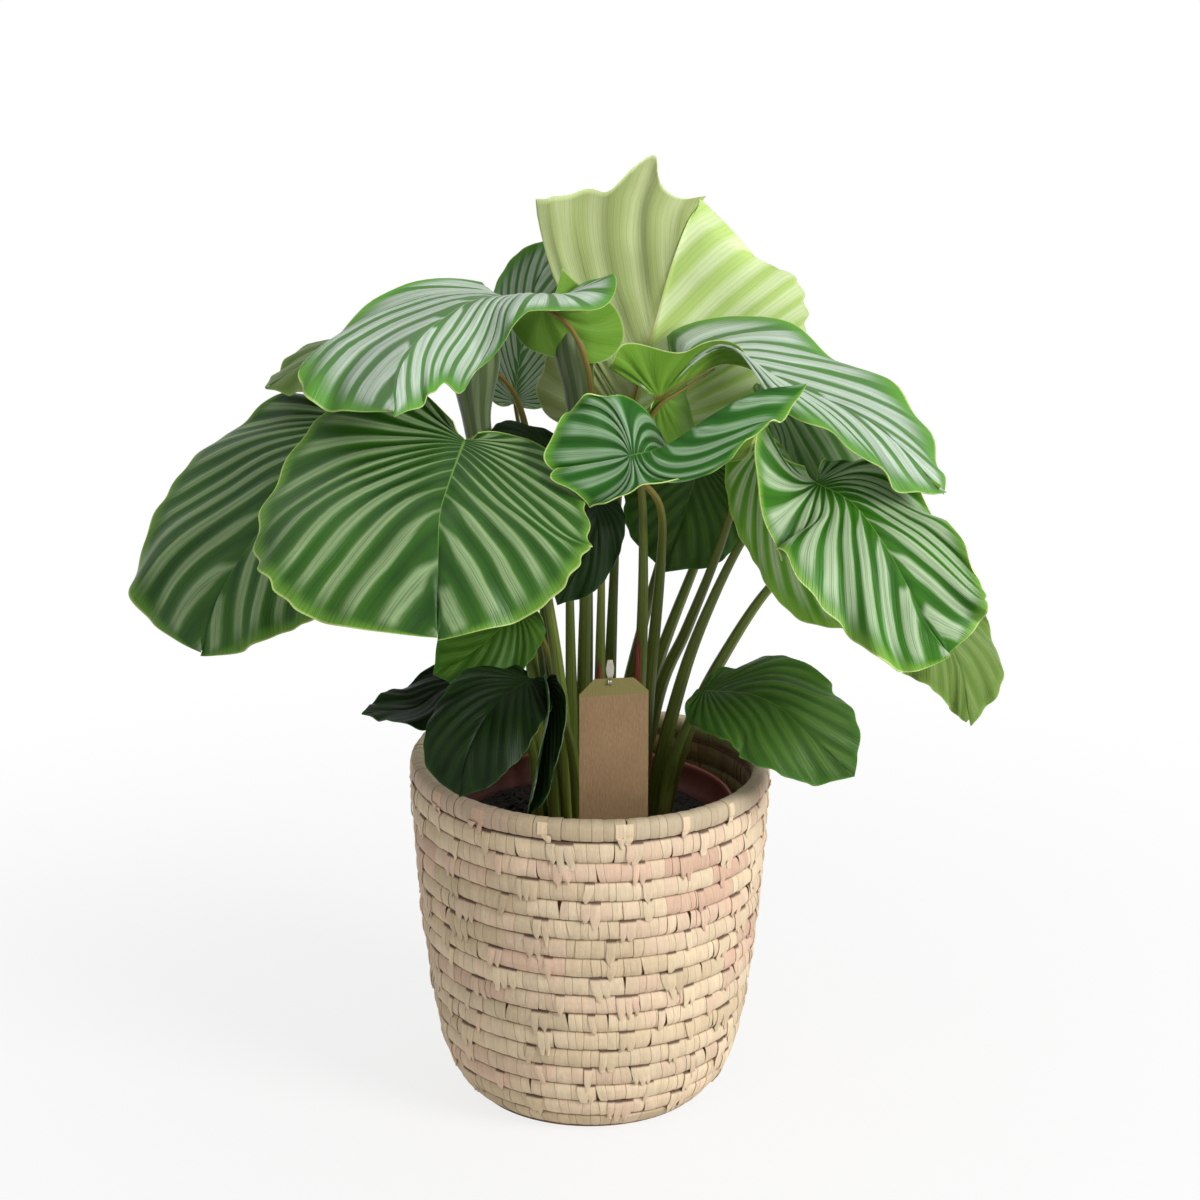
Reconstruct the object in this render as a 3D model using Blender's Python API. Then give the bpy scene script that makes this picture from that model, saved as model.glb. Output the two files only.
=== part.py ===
import math

import bmesh
import bpy
from mathutils import Vector

# Metres, +Z up. Origin: centre of the basket's flat underside. The viewer stands at -Y.

# Fit
gap = 0.0003                 # clearance left between neighbouring pieces

# Basket, a coiled cup
basketHeight = 0.2525
coilCount = 17
coilPitch = basketHeight / coilCount
coilGroove = 0.0022          # how far a groove sits behind its coils
wallThickness = 0.0125
floorThickness = 0.012
basketSides = 36
# outer radius of the basket at chosen heights
basketOutline = ((0.0, 0.084), (0.003, 0.088), (0.012, 0.097), (0.025, 0.104),
                 (0.040, 0.1095), (0.070, 0.115), (0.105, 0.1195), (0.140, 0.1235),
                 (0.175, 0.1265), (0.210, 0.1285), (0.245, 0.130), (0.260, 0.130))

# Nursery pot, a tapered tub with a rolled rim
potFloor = floorThickness + gap
potTop = 0.220
potWall = 0.0018
potFootRadius = 0.078
potWallTopRadius = 0.0985
potRimRadius = 0.105
potRimDrop = 0.020
potSides = 40

# Soil
soilTop = 0.200
soilSides = 32

# Tag and the peg that clips its top edge
tagLeft = -0.0075
tagRight = 0.0405
tagTop = 0.3435
tagY = -0.0855
tagThickness = 0.0008
tagCorner = 0.0105
pegX = 0.0138
pegWidth = 0.0046
pegLeg = 0.0018
pegBottom = 0.3360
pegTop = 0.3566

# Leaves
bladeThickness = 0.001
bigRows = 12
bigColumns = 4
smallRows = 8
smallColumns = 3
stemSides = 6
stemFoot = 0.0048            # radius at the soil
stemNeck = 0.0022            # radius under the blade

# One entry a leaf. rib: midrib from the stalk to the tip. face: which way the upper side looks,
# from the stalk to the tip. Pairs hold the left half, then the right half, seen from above with
# the tip ahead. lobe: how far a half reaches back past the stalk. fold, curl: degrees up from
# the rib, in equal steps from stalk to tip. wave: height, count and start of the edge's ruffle.
leaves = {
    "left_outer": {
        "rib": ((-0.16, 0.01, 0.505), (-0.20, -0.025, 0.475), (-0.23, -0.05, 0.435),
                (-0.26, -0.065, 0.395), (-0.28, -0.075, 0.355)),
        "face": ((-0.3, -0.5, 0.8), (-0.45, -0.8, 0.35)),
        "width": (0.085, 0.10), "belly": (0.46, 0.46), "lobe": (0.03, 0.03),
        "fold": ((5,), (0,)), "curl": ((-20,), (-25,)), "wave": (0.005, 4, 0),
        "stem": ((-0.036, 0.004, 0), (-0.040, 0.008, 0.30), (-0.055, 0.010, 0.40),
                 (-0.10, 0.016, 0.478))},
    "front_round": {
        "rib": ((-0.085, -0.07, 0.51), (-0.095, -0.105, 0.49), (-0.10, -0.14, 0.475),
                (-0.10, -0.17, 0.445), (-0.10, -0.19, 0.412)),
        "face": ((-0.05, -0.65, 0.75), (0, -0.8, 0.5)),
        "width": (0.103, 0.125), "belly": (0.44, 0.5), "lobe": (0.03, 0.055),
        "fold": ((0, 5), (5, 5)), "curl": ((-30, -25), (-32, -20)), "wave": (0.005, 3, 1),
        "stem": ((-0.016, -0.022, 0), (-0.022, -0.026, 0.32), (-0.042, -0.022, 0.44),
                 (-0.068, -0.040, 0.502))},
    "upper_left": {
        "rib": ((-0.03, 0.01, 0.587), (-0.07, -0.005, 0.592), (-0.105, -0.03, 0.58),
                (-0.15, -0.062, 0.559), (-0.202, -0.092, 0.547)),
        "face": ((-0.1, 0, 1), (-0.1, -0.1, 1), (-0.5, -0.5, 0.8)),
        "width": (0.065, 0.078), "belly": (0.48, 0.30), "lobe": (0.07, -0.02),
        "fold": ((75, 40, -30, -30, -20), (-5, -5, 5, 5)),
        "curl": ((-160, -100, -40, -40, -30), (0, 0, 0, -20)),
        "lobeBend": 0.3, "wave": (0.006, 3, 0),
        "stem": ((-0.006, 0.010, 0), (-0.004, 0.012, 0.35), (0.001, 0.010, 0.47),
                 (0.0, 0.010, 0.53), (-0.012, 0.010, 0.566))},
    "top_pale": {
        "rib": ((0.025, 0.055, 0.483), (0.035, 0.058, 0.518), (0.045, 0.065, 0.558),
                (0.053, 0.075, 0.593), (0.058, 0.087, 0.625), (0.056, 0.099, 0.655)),
        "face": ((0.1, 0.9, -0.2), (0.1, 0.9, -0.3)),
        "width": (0.112, 0.086), "belly": (0.36, 0.72), "lobe": (0.02, 0.03),
        "tipLobe": (0.008, -0.018), "taper": (0.35, 0),
        "fold": ((8,), (-8,)), "curl": ((0,), (0,)),
        "wave": (0.006, 3, 0),
        "stem": ((0.010, 0.020, 0), (0.014, 0.026, 0.30), (0.018, 0.038, 0.40),
                 (0.022, 0.046, 0.455))},
    "upper_right": {
        "rib": ((0.045, -0.04, 0.53), (0.07, -0.035, 0.545), (0.095, -0.03, 0.555),
                (0.13, -0.04, 0.545), (0.19, -0.06, 0.52), (0.238, -0.08, 0.48)),
        "face": ((-0.3, 0, 1), (-0.1, 0, 1), (0.2, -0.1, 1), (0.5, -0.2, 0.8)),
        "width": (0.078, 0.045), "belly": (0.28, 0.35), "lobe": (0.01, 0.045),
        "fold": ((15,), (80, 80, 15, -12, -30)), "curl": ((-10,), (-20, -25)),
        "wave": (0.005, 3, 0),
        "stem": ((0.026, -0.004, 0), (0.036, -0.006, 0.33), (0.037, -0.018, 0.44),
                 (0.033, -0.034, 0.495))},
    "front_curled": {
        "rib": ((0.008, -0.10, 0.515), (0.045, -0.105, 0.518), (0.085, -0.105, 0.529),
                (0.113, -0.103, 0.534), (0.136, -0.100, 0.529)),
        "face": ((-0.2, -0.8, 0.6), (0, -0.5, 0.9), (0, -0.3, 0.95)),
        "width": (0.055, 0.042), "belly": (0.3, 0.3), "lobe": (0.055, 0.06),
        "fold": ((20, -30, -85, -85, -70), (-10, -25, -40)),
        "curl": ((20, 0, 0, 0, 0), (0, -40)),
        "lobeBend": 0.3, "wave": (0.006, 3, 0),
        "stem": ((0.034, 0.010, 0), (0.042, 0.008, 0.30), (0.050, -0.002, 0.40),
                 (0.047, -0.040, 0.462), (0.025, -0.078, 0.498))},
    "right_front": {
        "rib": ((0.155, -0.05, 0.475), (0.18, -0.07, 0.465), (0.195, -0.10, 0.445),
                (0.205, -0.12, 0.42), (0.215, -0.14, 0.39), (0.22, -0.145, 0.37)),
        "face": ((0.3, -0.6, 0.6), (0.1, -0.9, 0.3)),
        "width": (0.055, 0.066), "belly": (0.46, 0.34), "lobe": (0.01, 0.05),
        "fold": ((10,), (0,)), "curl": ((-30,), (-10,)), "wave": (0.005, 4, 0),
        "stem": ((0.040, 0.000, 0), (0.060, 0.000, 0.29), (0.080, 0.000, 0.355),
                 (0.112, -0.004, 0.425), (0.146, -0.026, 0.466))},
    "right_behind": {
        "rib": ((0.122, -0.030, 0.488), (0.133, -0.042, 0.462), (0.15, -0.055, 0.428),
                (0.165, -0.060, 0.398), (0.18, -0.065, 0.378)),
        "face": ((-0.3, -0.7, 0.5), (-0.3, -0.8, 0.3)),
        "width": (0.018, 0.04), "belly": (0.46, 0.46), "lobe": (0.01, 0.02),
        "fold": ((0,), (0,)), "curl": ((-30,), (-30,)), "wave": (0.004, 3, 0),
        "stem": ((0.030, 0.024, 0), (0.050, 0.021, 0.295), (0.069, 0.014, 0.345),
                 (0.092, 0.006, 0.41), (0.110, -0.008, 0.462))},
    "right_middle": {
        "rib": ((0.118, 0.014, 0.514), (0.143, 0.016, 0.505), (0.172, 0.010, 0.49),
                (0.205, 0.0, 0.467)),
        "face": ((0.1, -0.3, 0.9), (0.3, -0.4, 0.8)),
        "width": (0.035, 0.045), "belly": (0.46, 0.46), "lobe": (0.01, 0.02),
        "fold": ((0,), (-5,)), "curl": ((-20,), (-15,)), "wave": (0.003, 3, 0),
        "stem": ((0.026, 0.036, 0), (0.046, 0.040, 0.30), (0.082, 0.050, 0.40),
                 (0.104, 0.034, 0.480))},
    "right_back": {
        "rib": ((0.228, 0.06, 0.37), (0.250, 0.06, 0.34), (0.270, 0.055, 0.305),
                (0.279, 0.05, 0.262)),
        "face": ((0.4, -0.6, 0.4), (0.3, -0.9, 0.1)),
        "width": (0.042, 0.045), "belly": (0.46, 0.46), "lobe": (0.01, 0.02),
        "fold": ((0,), (0,)), "curl": ((-20,), (-20,)), "wave": (0.004, 3, 0),
        "stem": ((0.050, 0.006, 0), (0.070, 0.006, 0.27), (0.095, 0.010, 0.325),
                 (0.135, 0.020, 0.382), (0.185, 0.048, 0.400))},
    "low_right": {
        "rib": ((0.08, -0.03, 0.315), (0.11, -0.05, 0.32), (0.13, -0.06, 0.315),
                (0.145, -0.07, 0.305), (0.18, -0.085, 0.275)),
        "face": ((0, -0.3, 0.95), (0.2, -0.5, 0.7)),
        "width": (0.05, 0.045), "belly": (0.46, 0.46), "lobe": (0.01, 0.015),
        "fold": ((5,), (-5,)), "curl": ((-15,), (-30,)), "wave": (0.003, 3, 0),
        "stem": ((0.050, -0.020, 0), (0.056, -0.024, 0.245), (0.066, -0.027, 0.28))},
    "low_front_left": {
        "rib": ((-0.042, -0.062, 0.335), (-0.064, -0.09, 0.33), (-0.08, -0.11, 0.315),
                (-0.09, -0.122, 0.295), (-0.095, -0.127, 0.27)),
        "face": ((-0.2, -0.6, 0.75), (-0.2, -0.9, 0.3)),
        "width": (0.04, 0.04), "belly": (0.46, 0.46), "lobe": (0.01, 0.01),
        "fold": ((10,), (10,)), "curl": ((-20,), (-20,)), "wave": (0.003, 3, 0),
        "stem": ((-0.024, -0.036, 0), (-0.027, -0.040, 0.27), (-0.033, -0.048, 0.31))},
    "low_left": {
        "rib": ((-0.075, -0.02, 0.325), (-0.105, -0.03, 0.315), (-0.125, -0.04, 0.305),
                (-0.155, -0.05, 0.305)),
        "face": ((-0.1, -0.2, 0.95), (-0.1, -0.2, 0.95)),
        "width": (0.03, 0.03), "belly": (0.46, 0.46), "lobe": (0.01, 0.01),
        "fold": ((10,), (10,)), "curl": ((-20,), (-20,)), "wave": (0.003, 3, 0),
        "stem": ((-0.034, -0.014, 0), (-0.042, -0.016, 0.27), (-0.058, -0.018, 0.305))},
    "under_front": {
        "rib": ((-0.05, -0.02, 0.375), (-0.065, -0.03, 0.36), (-0.085, -0.04, 0.345),
                (-0.105, -0.045, 0.335)),
        "face": ((-0.2, -0.7, 0.6), (-0.2, -0.8, 0.5)),
        "width": (0.035, 0.035), "belly": (0.46, 0.46), "lobe": (0.01, 0.01),
        "fold": ((5,), (5,)), "curl": ((-20,), (-20,)), "wave": (0.003, 3, 0),
        "stem": ((-0.020, 0.004, 0), (-0.024, 0.000, 0.30), (-0.036, -0.012, 0.352))},
    "low_folded": {
        "rib": ((-0.026, -0.068, 0.335), (-0.022, -0.086, 0.32), (-0.026, -0.096, 0.295),
                (-0.036, -0.104, 0.25)),
        "face": ((0.3, -0.8, 0.4), (0.3, -0.8, 0.2)),
        "width": (0.03, 0.03), "belly": (0.46, 0.46), "lobe": (0.005, 0.005),
        "fold": ((72,), (72,)), "curl": ((0,), (0,)), "wave": (0.001, 3, 0),
        "stem": ((-0.006, -0.040, 0), (-0.010, -0.046, 0.27), (-0.020, -0.058, 0.318))},
    "inner_front": {
        "rib": ((0.005, -0.02, 0.45), (0.005, -0.035, 0.435), (0, -0.045, 0.41),
                (-0.015, -0.055, 0.385)),
        "face": ((0.1, -0.8, 0.5), (0.1, -0.8, 0.3)),
        "width": (0.03, 0.038), "belly": (0.46, 0.46), "lobe": (0.01, 0.01),
        "fold": ((10,), (10,)), "curl": ((-20,), (-20,)), "wave": (0.003, 3, 0),
        "stem": ((0.006, -0.012, 0), (0.007, -0.012, 0.33), (0.008, -0.011, 0.42)),
        "seat": 0.0006},
    "inner_back": {
        "rib": ((0.08, 0.025, 0.47), (0.072, 0.028, 0.445), (0.065, 0.028, 0.42),
                (0.055, 0.027, 0.39)),
        "face": ((0, -0.9, 0.3), (0, -0.9, 0.2)),
        "width": (0.045, 0.045), "belly": (0.46, 0.46), "lobe": (0.01, 0.01),
        "fold": ((10,), (10,)), "curl": ((-20,), (-20,)), "wave": (0.003, 3, 0),
        "stem": ((0.012, 0.046, 0), (0.030, 0.050, 0.30), (0.060, 0.048, 0.42),
                 (0.078, 0.036, 0.462)),
        "seat": 0.0013},
    "back_upright": {
        "rib": ((-0.055, 0.10, 0.49), (-0.05, 0.115, 0.53), (-0.04, 0.13, 0.57),
                (-0.02, 0.14, 0.61)),
        "face": ((-0.3, -0.8, 0.4), (-0.3, -0.7, 0.5)),
        "width": (0.045, 0.045), "belly": (0.46, 0.46), "lobe": (0.01, 0.01),
        "fold": ((5,), (5,)), "curl": ((-10,), (-10,)), "wave": (0.003, 3, 0),
        "stem": ((-0.012, 0.040, 0), (-0.030, 0.060, 0.32), (-0.046, 0.090, 0.44))},
    "back_left": {
        "rib": ((-0.10, 0.06, 0.54), (-0.15, 0.06, 0.545), (-0.19, 0.05, 0.54),
                (-0.225, 0.04, 0.52)),
        "face": ((-0.1, -0.1, 1), (-0.3, -0.2, 0.9)),
        "width": (0.05, 0.05), "belly": (0.46, 0.46), "lobe": (0.01, 0.01),
        "fold": ((-5,), (-5,)), "curl": ((-20,), (-20,)), "wave": (0.003, 3, 0),
        "stem": ((-0.022, 0.028, 0), (-0.036, 0.036, 0.40), (-0.045, 0.050, 0.48),
                 (-0.062, 0.055, 0.52))},
    "inner_left": {
        "rib": ((-0.020, 0.010, 0.468), (-0.045, 0.010, 0.487), (-0.072, 0.006, 0.490)),
        "face": ((0, -0.35, 0.9), (-0.2, -0.4, 0.85)),
        "width": (0.024, 0.022), "belly": (0.46, 0.46), "lobe": (0.008, 0.008),
        "fold": ((15,), (5,)), "curl": ((-20,), (-20,)), "wave": (0.002, 3, 0),
        "stem": ((-0.012, -0.004, 0), (-0.014, -0.002, 0.33), (-0.016, 0.006, 0.43))},
}
bigLeaves = ("left_outer", "front_round", "upper_left", "top_pale", "upper_right",
             "front_curled", "right_front", "right_middle")

# New leaves still rolled into a spear on their own stalk: (x, y, z, radius) from soil to tip
spears = {
    "rolled_leaf_left": ((-0.030, 0.020, 0, 0.0045), (-0.038, 0.022, 0.32, 0.0045),
                         (-0.064, 0.026, 0.43, 0.006), (-0.080, 0.030, 0.49, 0.009),
                         (-0.082, 0.030, 0.545, 0.017), (-0.080, 0.031, 0.565, 0.014),
                         (-0.078, 0.033, 0.58, 0.003)),
    "rolled_leaf_centre": ((-0.004, 0.030, 0, 0.0045), (-0.003, 0.034, 0.35, 0.0045),
                           (-0.006, 0.032, 0.47, 0.006), (-0.008, 0.030, 0.515, 0.010),
                           (-0.013, 0.030, 0.550, 0.013), (-0.015, 0.030, 0.568, 0.009),
                           (-0.018, 0.030, 0.583, 0.003)),
}

# Dry husks hugging the stalks: rib, width, which way they look
husks = {
    "dry_husk_tall": {"rib": ((0.0310, -0.0098, 0.300), (0.0323, -0.0105, 0.324),
                              (0.0331, -0.0116, 0.346)),
                      "face": ((-0.55, -0.83, 0.1),), "width": (0.0045, 0.0045)},
    "dry_husk_short": {"rib": ((0.0068, -0.0172, 0.306), (0.0068, -0.0173, 0.318),
                               (0.0066, -0.0180, 0.329)),
                       "face": ((0, -1, 0),), "width": (0.0033, 0.0033)},
}


def clearScene():
    for obj in list(bpy.data.objects):
        bpy.data.objects.remove(obj, do_unlink=True)


def material(name, colour, roughness):
    mat = bpy.data.materials.get(name)
    if mat is None:
        mat = bpy.data.materials.new(name)
        mat.use_nodes = True
        shader = mat.node_tree.nodes["Principled BSDF"]
        shader.inputs["Base Color"].default_value = (*colour, 1)
        shader.inputs["Roughness"].default_value = roughness
        mat.diffuse_color = (*colour, 1)
    return mat


def addObject(name, bm, mat, smooth=True):
    bmesh.ops.recalc_face_normals(bm, faces=bm.faces)
    mesh = bpy.data.meshes.new(name)
    bm.to_mesh(mesh)
    bm.free()
    for face in mesh.polygons:
        face.use_smooth = smooth
    mesh.materials.append(mat)
    obj = bpy.data.objects.new(name, mesh)
    bpy.context.collection.objects.link(obj)
    return obj


def sheet(rows, columns, place):
    # a grid bent into shape by place(u 0..1 along, v 0..1 across)
    bm = bmesh.new()
    bmesh.ops.create_grid(bm, x_segments=rows, y_segments=columns, size=1.0)
    for vert in bm.verts:
        vert.co = place((vert.co.x + 1) / 2, (vert.co.y + 1) / 2)
    bmesh.ops.remove_doubles(bm, verts=bm.verts, dist=0.00005)
    return bm


def stepAlong(values, t):
    # value at t (0..1) in a list of equal steps
    if len(values) == 1:
        return values[0]
    place = min(max(t, 0), 1) * (len(values) - 1)
    low = min(int(place), len(values) - 2)
    return values[low] + (values[low + 1] - values[low]) * (place - low)


def stepVector(vectors, t):
    return Vector([stepAlong([v[axis] for v in vectors], t) for axis in range(3)])


def smoothPath(points, steps=12):
    # a curve through the points, as (distance, point) pairs
    pts = [Vector(p) for p in points]
    pts = [2 * pts[0] - pts[1]] + pts + [2 * pts[-1] - pts[-2]]
    path = []
    for i in range(1, len(pts) - 2):
        a, b, c, d = pts[i - 1:i + 3]
        for k in range(steps):
            t = k / steps
            path.append(0.5 * (2 * b + (c - a) * t + (2 * a - 5 * b + 4 * c - d) * t * t
                               + (3 * b - a - 3 * c + d) * t ** 3))
    path.append(pts[-2])
    lengths = [0.0]
    for i in range(1, len(path)):
        lengths.append(lengths[-1] + (path[i] - path[i - 1]).length)
    return lengths, path


def pointAt(lengths, path, distance):
    distance = min(max(distance, 0), lengths[-1])
    for i in range(1, len(path)):
        if lengths[i] >= distance:
            share = (distance - lengths[i - 1]) / (lengths[i] - lengths[i - 1])
            return path[i - 1].lerp(path[i], share)
    return path[-1]


def ribFrame(leaf, lengths, path, a):
    # point, forward, up and right on the rib; before the stalk the blade may bend up or down
    length = lengths[-1]
    inside = min(max(a, 0), length)
    point = pointAt(lengths, path, inside)
    step = length * 0.03
    forward = (pointAt(lengths, path, inside + step) - pointAt(lengths, path, inside - step)).normalized()
    up = stepVector(leaf["face"], inside / length)
    up = (up - forward * up.dot(forward)).normalized()
    right = forward.cross(up)
    bend = leaf.get("lobeBend", 0) / 0.06
    if a < 0 and bend:
        angle = -a * bend
        point = point - forward * math.sin(angle) / bend + up * (1 - math.cos(angle)) / bend
        up = up * math.cos(angle) + forward * math.sin(angle)
    elif a < 0:
        point = point + forward * a
    if a > length:
        point = point + forward * (a - length)
    return point, up, right


def bladePoint(leaf, lengths, path, u, across):
    # u runs from the stalk to the tip along the edge; across runs from one edge to the other
    half = 0 if across < 0 else 1
    sign = -1 if across < 0 else 1
    v = abs(across)
    length = lengths[-1]
    middle = length * leaf["belly"][half]
    width = leaf["width"][half]
    lobe = leaf["lobe"][half]
    tipLobe = leaf.get("tipLobe", (0, 0))[half]
    angle = math.pi * (0.02 + 0.98 * u)
    back = math.sin(min(angle / 0.8, 1) * math.pi / 2)
    front = math.sin(min((math.pi - angle) / 0.8, 1) * math.pi / 2)
    if angle < math.pi / 2:
        edgeA = middle - (middle + lobe * back) * math.cos(angle)
    else:
        edgeA = middle - (length - middle + tipLobe * front) * math.cos(angle)
    taper = leaf.get("taper", (0, 0))[half]
    edgeB = width * max(math.sin(angle), 0) ** 0.92 * (1 - taper * max(2 * angle / math.pi - 1, 0))
    startA = length * (0.05 * u + 0.95 * u ** 4)
    a = startA * (1 - v) ** 2 + 2 * (startA + 0.42 * (edgeA - startA)) * v * (1 - v) + edgeA * v * v
    b = 2 * 0.55 * edgeB * v * (1 - v) + edgeB * v * v
    point, up, right = ribFrame(leaf, lengths, path, a)
    t = (a + 0.15 * length) / (1.15 * length)
    fold = math.radians(stepAlong(leaf["fold"][half], t))
    curl = math.radians(stepAlong(leaf["curl"][half], t)) / width
    if abs(curl) < 1e-4:
        out = b * math.cos(fold)
        rise = b * math.sin(fold)
    else:
        out = (math.sin(fold + curl * b) - math.sin(fold)) / curl
        rise = (math.cos(fold) - math.cos(fold + curl * b)) / curl
    high, count, start = leaf["wave"]
    shift = 0.9 if half else 0
    rise += high * math.sin(2 * math.pi * count * u + start + shift) * v * v * min(1, 4 * (1 - u) + 0.1)
    return point + right * sign * out + up * rise


def thicken(obj, thickness):
    mod = obj.modifiers.new("thickness", "SOLIDIFY")
    mod.thickness = thickness
    mod.offset = 0


def makeBlade(name, leaf, rows, columns, mat):
    lengths, path = smoothPath(leaf["rib"])
    bm = sheet(rows, 2 * columns, lambda u, v: bladePoint(leaf, lengths, path, u, 2 * v - 1))
    blade = addObject(name, bm, mat)
    thicken(blade, bladeThickness)
    return blade


def makeTube(name, points, radii, sides, rings, mat):
    # a bent round stalk standing on a level foot
    lengths, path = smoothPath(points)
    total = lengths[-1]

    def place(u, v):
        distance = u * total
        centre = pointAt(lengths, path, distance)
        ahead = pointAt(lengths, path, distance + 0.004) - pointAt(lengths, path, distance - 0.004)
        ahead = Vector((0, 0, 1)) if u == 0 else ahead.normalized()
        sideways = Vector((0, 1, 0)).cross(ahead)
        if sideways.length < 0.2:
            sideways = Vector((1, 0, 0)).cross(ahead)
        sideways.normalize()
        third = ahead.cross(sideways)
        angle = 2 * math.pi * v
        radius = stepAlong(radii, u)
        return centre + (sideways * math.cos(angle) + third * math.sin(angle)) * radius

    bm = sheet(rings, sides, place)
    openEdges = [edge for edge in bm.edges if edge.is_boundary]
    bmesh.ops.holes_fill(bm, edges=openEdges, sides=0)
    return addObject(name, bm, mat)


def makeStem(name, leaf, mat):
    # from the soil to just under the stalk end of the blade
    lengths, path = smoothPath(leaf["rib"])
    base, up, right = ribFrame(leaf, lengths, path, 0)
    forward = up.cross(right)
    arriving = (base - Vector(leaf["stem"][-1])).normalized()
    slant = math.sqrt(1 - min(abs(arriving.dot(up)), 1) ** 2)
    drop = bladeThickness / 2 + stemNeck * slant + 0.0005 - leaf.get("seat", 0)
    under = base + forward * 0.004 - up * drop
    foot = Vector(leaf["stem"][0])
    foot.z = soilTop + gap
    points = [foot] + [Vector(p) for p in leaf["stem"][1:]] + [under]
    return makeTube(name, points, (stemFoot, 0.0040, 0.0034, 0.0028, stemNeck), stemSides, 10, mat)


def lathe(name, profile, sides, mat):
    # closed ring of (radius, height) points turned round the z axis
    count = len(profile) - 1

    def place(u, v):
        radius, height = profile[round(u * count)]
        angle = 2 * math.pi * v
        return Vector((radius * math.cos(angle), radius * math.sin(angle), height))

    return addObject(name, sheet(count, sides, place), mat)


def basketRadius(height):
    for i in range(1, len(basketOutline)):
        low, lowRadius = basketOutline[i - 1]
        high, highRadius = basketOutline[i]
        if height <= high:
            return lowRadius + (highRadius - lowRadius) * (height - low) / (high - low)
    return basketOutline[-1][1]


def makeBasket(mat):
    profile = [(0, 0), (basketOutline[0][1], 0)]
    for coil in range(coilCount):
        middle = (coil + 0.5) * coilPitch
        radius = basketRadius(middle)
        if coil:
            seam = coil * coilPitch
            profile.append((basketRadius(seam) - coilGroove, seam))
        profile.append((radius, middle - 0.22 * coilPitch))
        if coil < coilCount - 1:
            profile.append((radius, middle + 0.22 * coilPitch))
    rim = basketRadius(basketHeight)
    profile.append((rim - 0.003, basketHeight - 0.002))
    profile.append((rim - wallThickness / 2, basketHeight))
    profile.append((rim - wallThickness + 0.002, basketHeight - 0.003))
    for coil in range(coilCount - 1, coilCount - 6, -1):
        seam = coil * coilPitch
        inner = basketRadius(seam) - wallThickness
        profile.append((inner - 0.0005, seam + 0.5 * coilPitch))
        profile.append((inner + 0.0015, seam))
    for height in (0.150, 0.100, 0.060, 0.030):
        profile.append((basketRadius(height) - wallThickness, height))
    profile.append((basketRadius(floorThickness) - wallThickness, floorThickness))
    profile.append((0, floorThickness))
    return lathe("basket", profile, basketSides, mat)


def potInner(height):
    share = (height - potFloor) / (potTop - potRimDrop - potFloor)
    return potFootRadius + (potWallTopRadius - potFootRadius) * min(share, 1) - potWall


def makePot(mat):
    lip = potTop - potRimDrop
    profile = [(0, potFloor), (potFootRadius, potFloor), (potWallTopRadius, lip),
               (potRimRadius - 0.0012, lip), (potRimRadius, lip + 0.002),
               (potRimRadius, potTop - 0.0015), (potRimRadius - 0.0008, potTop),
               (potRimRadius - 0.0028, potTop), (potRimRadius - 0.0035, potTop - 0.002),
               (potWallTopRadius - potWall, lip),
               (potInner(potFloor + potWall), potFloor + potWall), (0, potFloor + potWall)]
    return lathe("nursery_pot", profile, potSides, mat)


def makeSoil(mat):
    bottom = potFloor + potWall + gap
    lip = potTop - potRimDrop
    profile = [(0, bottom), (potInner(bottom) - gap, bottom), (potInner(lip) - 2 * gap, soilTop),
               (0, soilTop)]
    return lathe("soil", profile, soilSides, mat)


def extruded(name, outline, depth, mat):
    # outline: points of one flat end face, pushed along depth
    bm = bmesh.new()
    face = bm.faces.new([bm.verts.new(p) for p in outline])
    pushed = bmesh.ops.extrude_face_region(bm, geom=[face])
    moved = [item for item in pushed["geom"] if isinstance(item, bmesh.types.BMVert)]
    bmesh.ops.translate(bm, verts=moved, vec=depth)
    return addObject(name, bm, mat, smooth=False)


def makeTag(mat):
    front = tagY - tagThickness / 2
    bottom = soilTop + gap
    outline = [(tagLeft, front, bottom), (tagRight, front, bottom),
               (tagRight, front, tagTop - tagCorner), (tagRight - tagCorner, front, tagTop),
               (tagLeft + tagCorner, front, tagTop), (tagLeft, front, tagTop - tagCorner)]
    return extruded("tag", outline, (0, tagThickness, 0), mat)


def makePeg(mat):
    inner = tagThickness / 2 + gap
    outer = inner + pegLeg
    side = pegX - pegWidth / 2
    crotch = tagTop + gap
    outline = [(side, tagY - outer, pegBottom), (side, tagY - inner, pegBottom),
               (side, tagY - inner, crotch), (side, tagY + inner, crotch),
               (side, tagY + inner, pegBottom), (side, tagY + outer, pegBottom),
               (side, tagY + outer * 0.6, pegTop), (side, tagY - outer * 0.6, pegTop)]
    return extruded("tag_peg", outline, (pegWidth, 0, 0), mat)


def makeHusk(name, husk, mat):
    leaf = {"rib": husk["rib"], "face": husk["face"], "width": husk["width"], "belly": (0.4, 0.4),
            "lobe": (0, 0), "fold": ((-12,), (-12,)), "curl": ((-40,), (-40,)), "wave": (0, 1, 0)}
    return makeBlade(name, leaf, 6, 2, mat)


clearScene()
straw = material("straw_coil", (0.66, 0.52, 0.36), 0.75)
plastic = material("pot_plastic", (0.22, 0.06, 0.045), 0.5)
earth = material("potting_soil", (0.03, 0.02, 0.013), 0.95)
kraft = material("kraft_card", (0.46, 0.29, 0.16), 0.85)
softwood = material("peg_wood", (0.62, 0.45, 0.27), 0.7)
leafGreen = material("leaf_green", (0.05, 0.16, 0.03), 0.45)
leafPale = material("leaf_pale", (0.45, 0.60, 0.22), 0.5)
stalkGreen = material("stalk_green", (0.09, 0.13, 0.04), 0.5)
spearGreen = material("rolled_leaf_green", (0.16, 0.22, 0.13), 0.5)
huskBrown = material("dry_husk", (0.20, 0.04, 0.02), 0.8)

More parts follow.
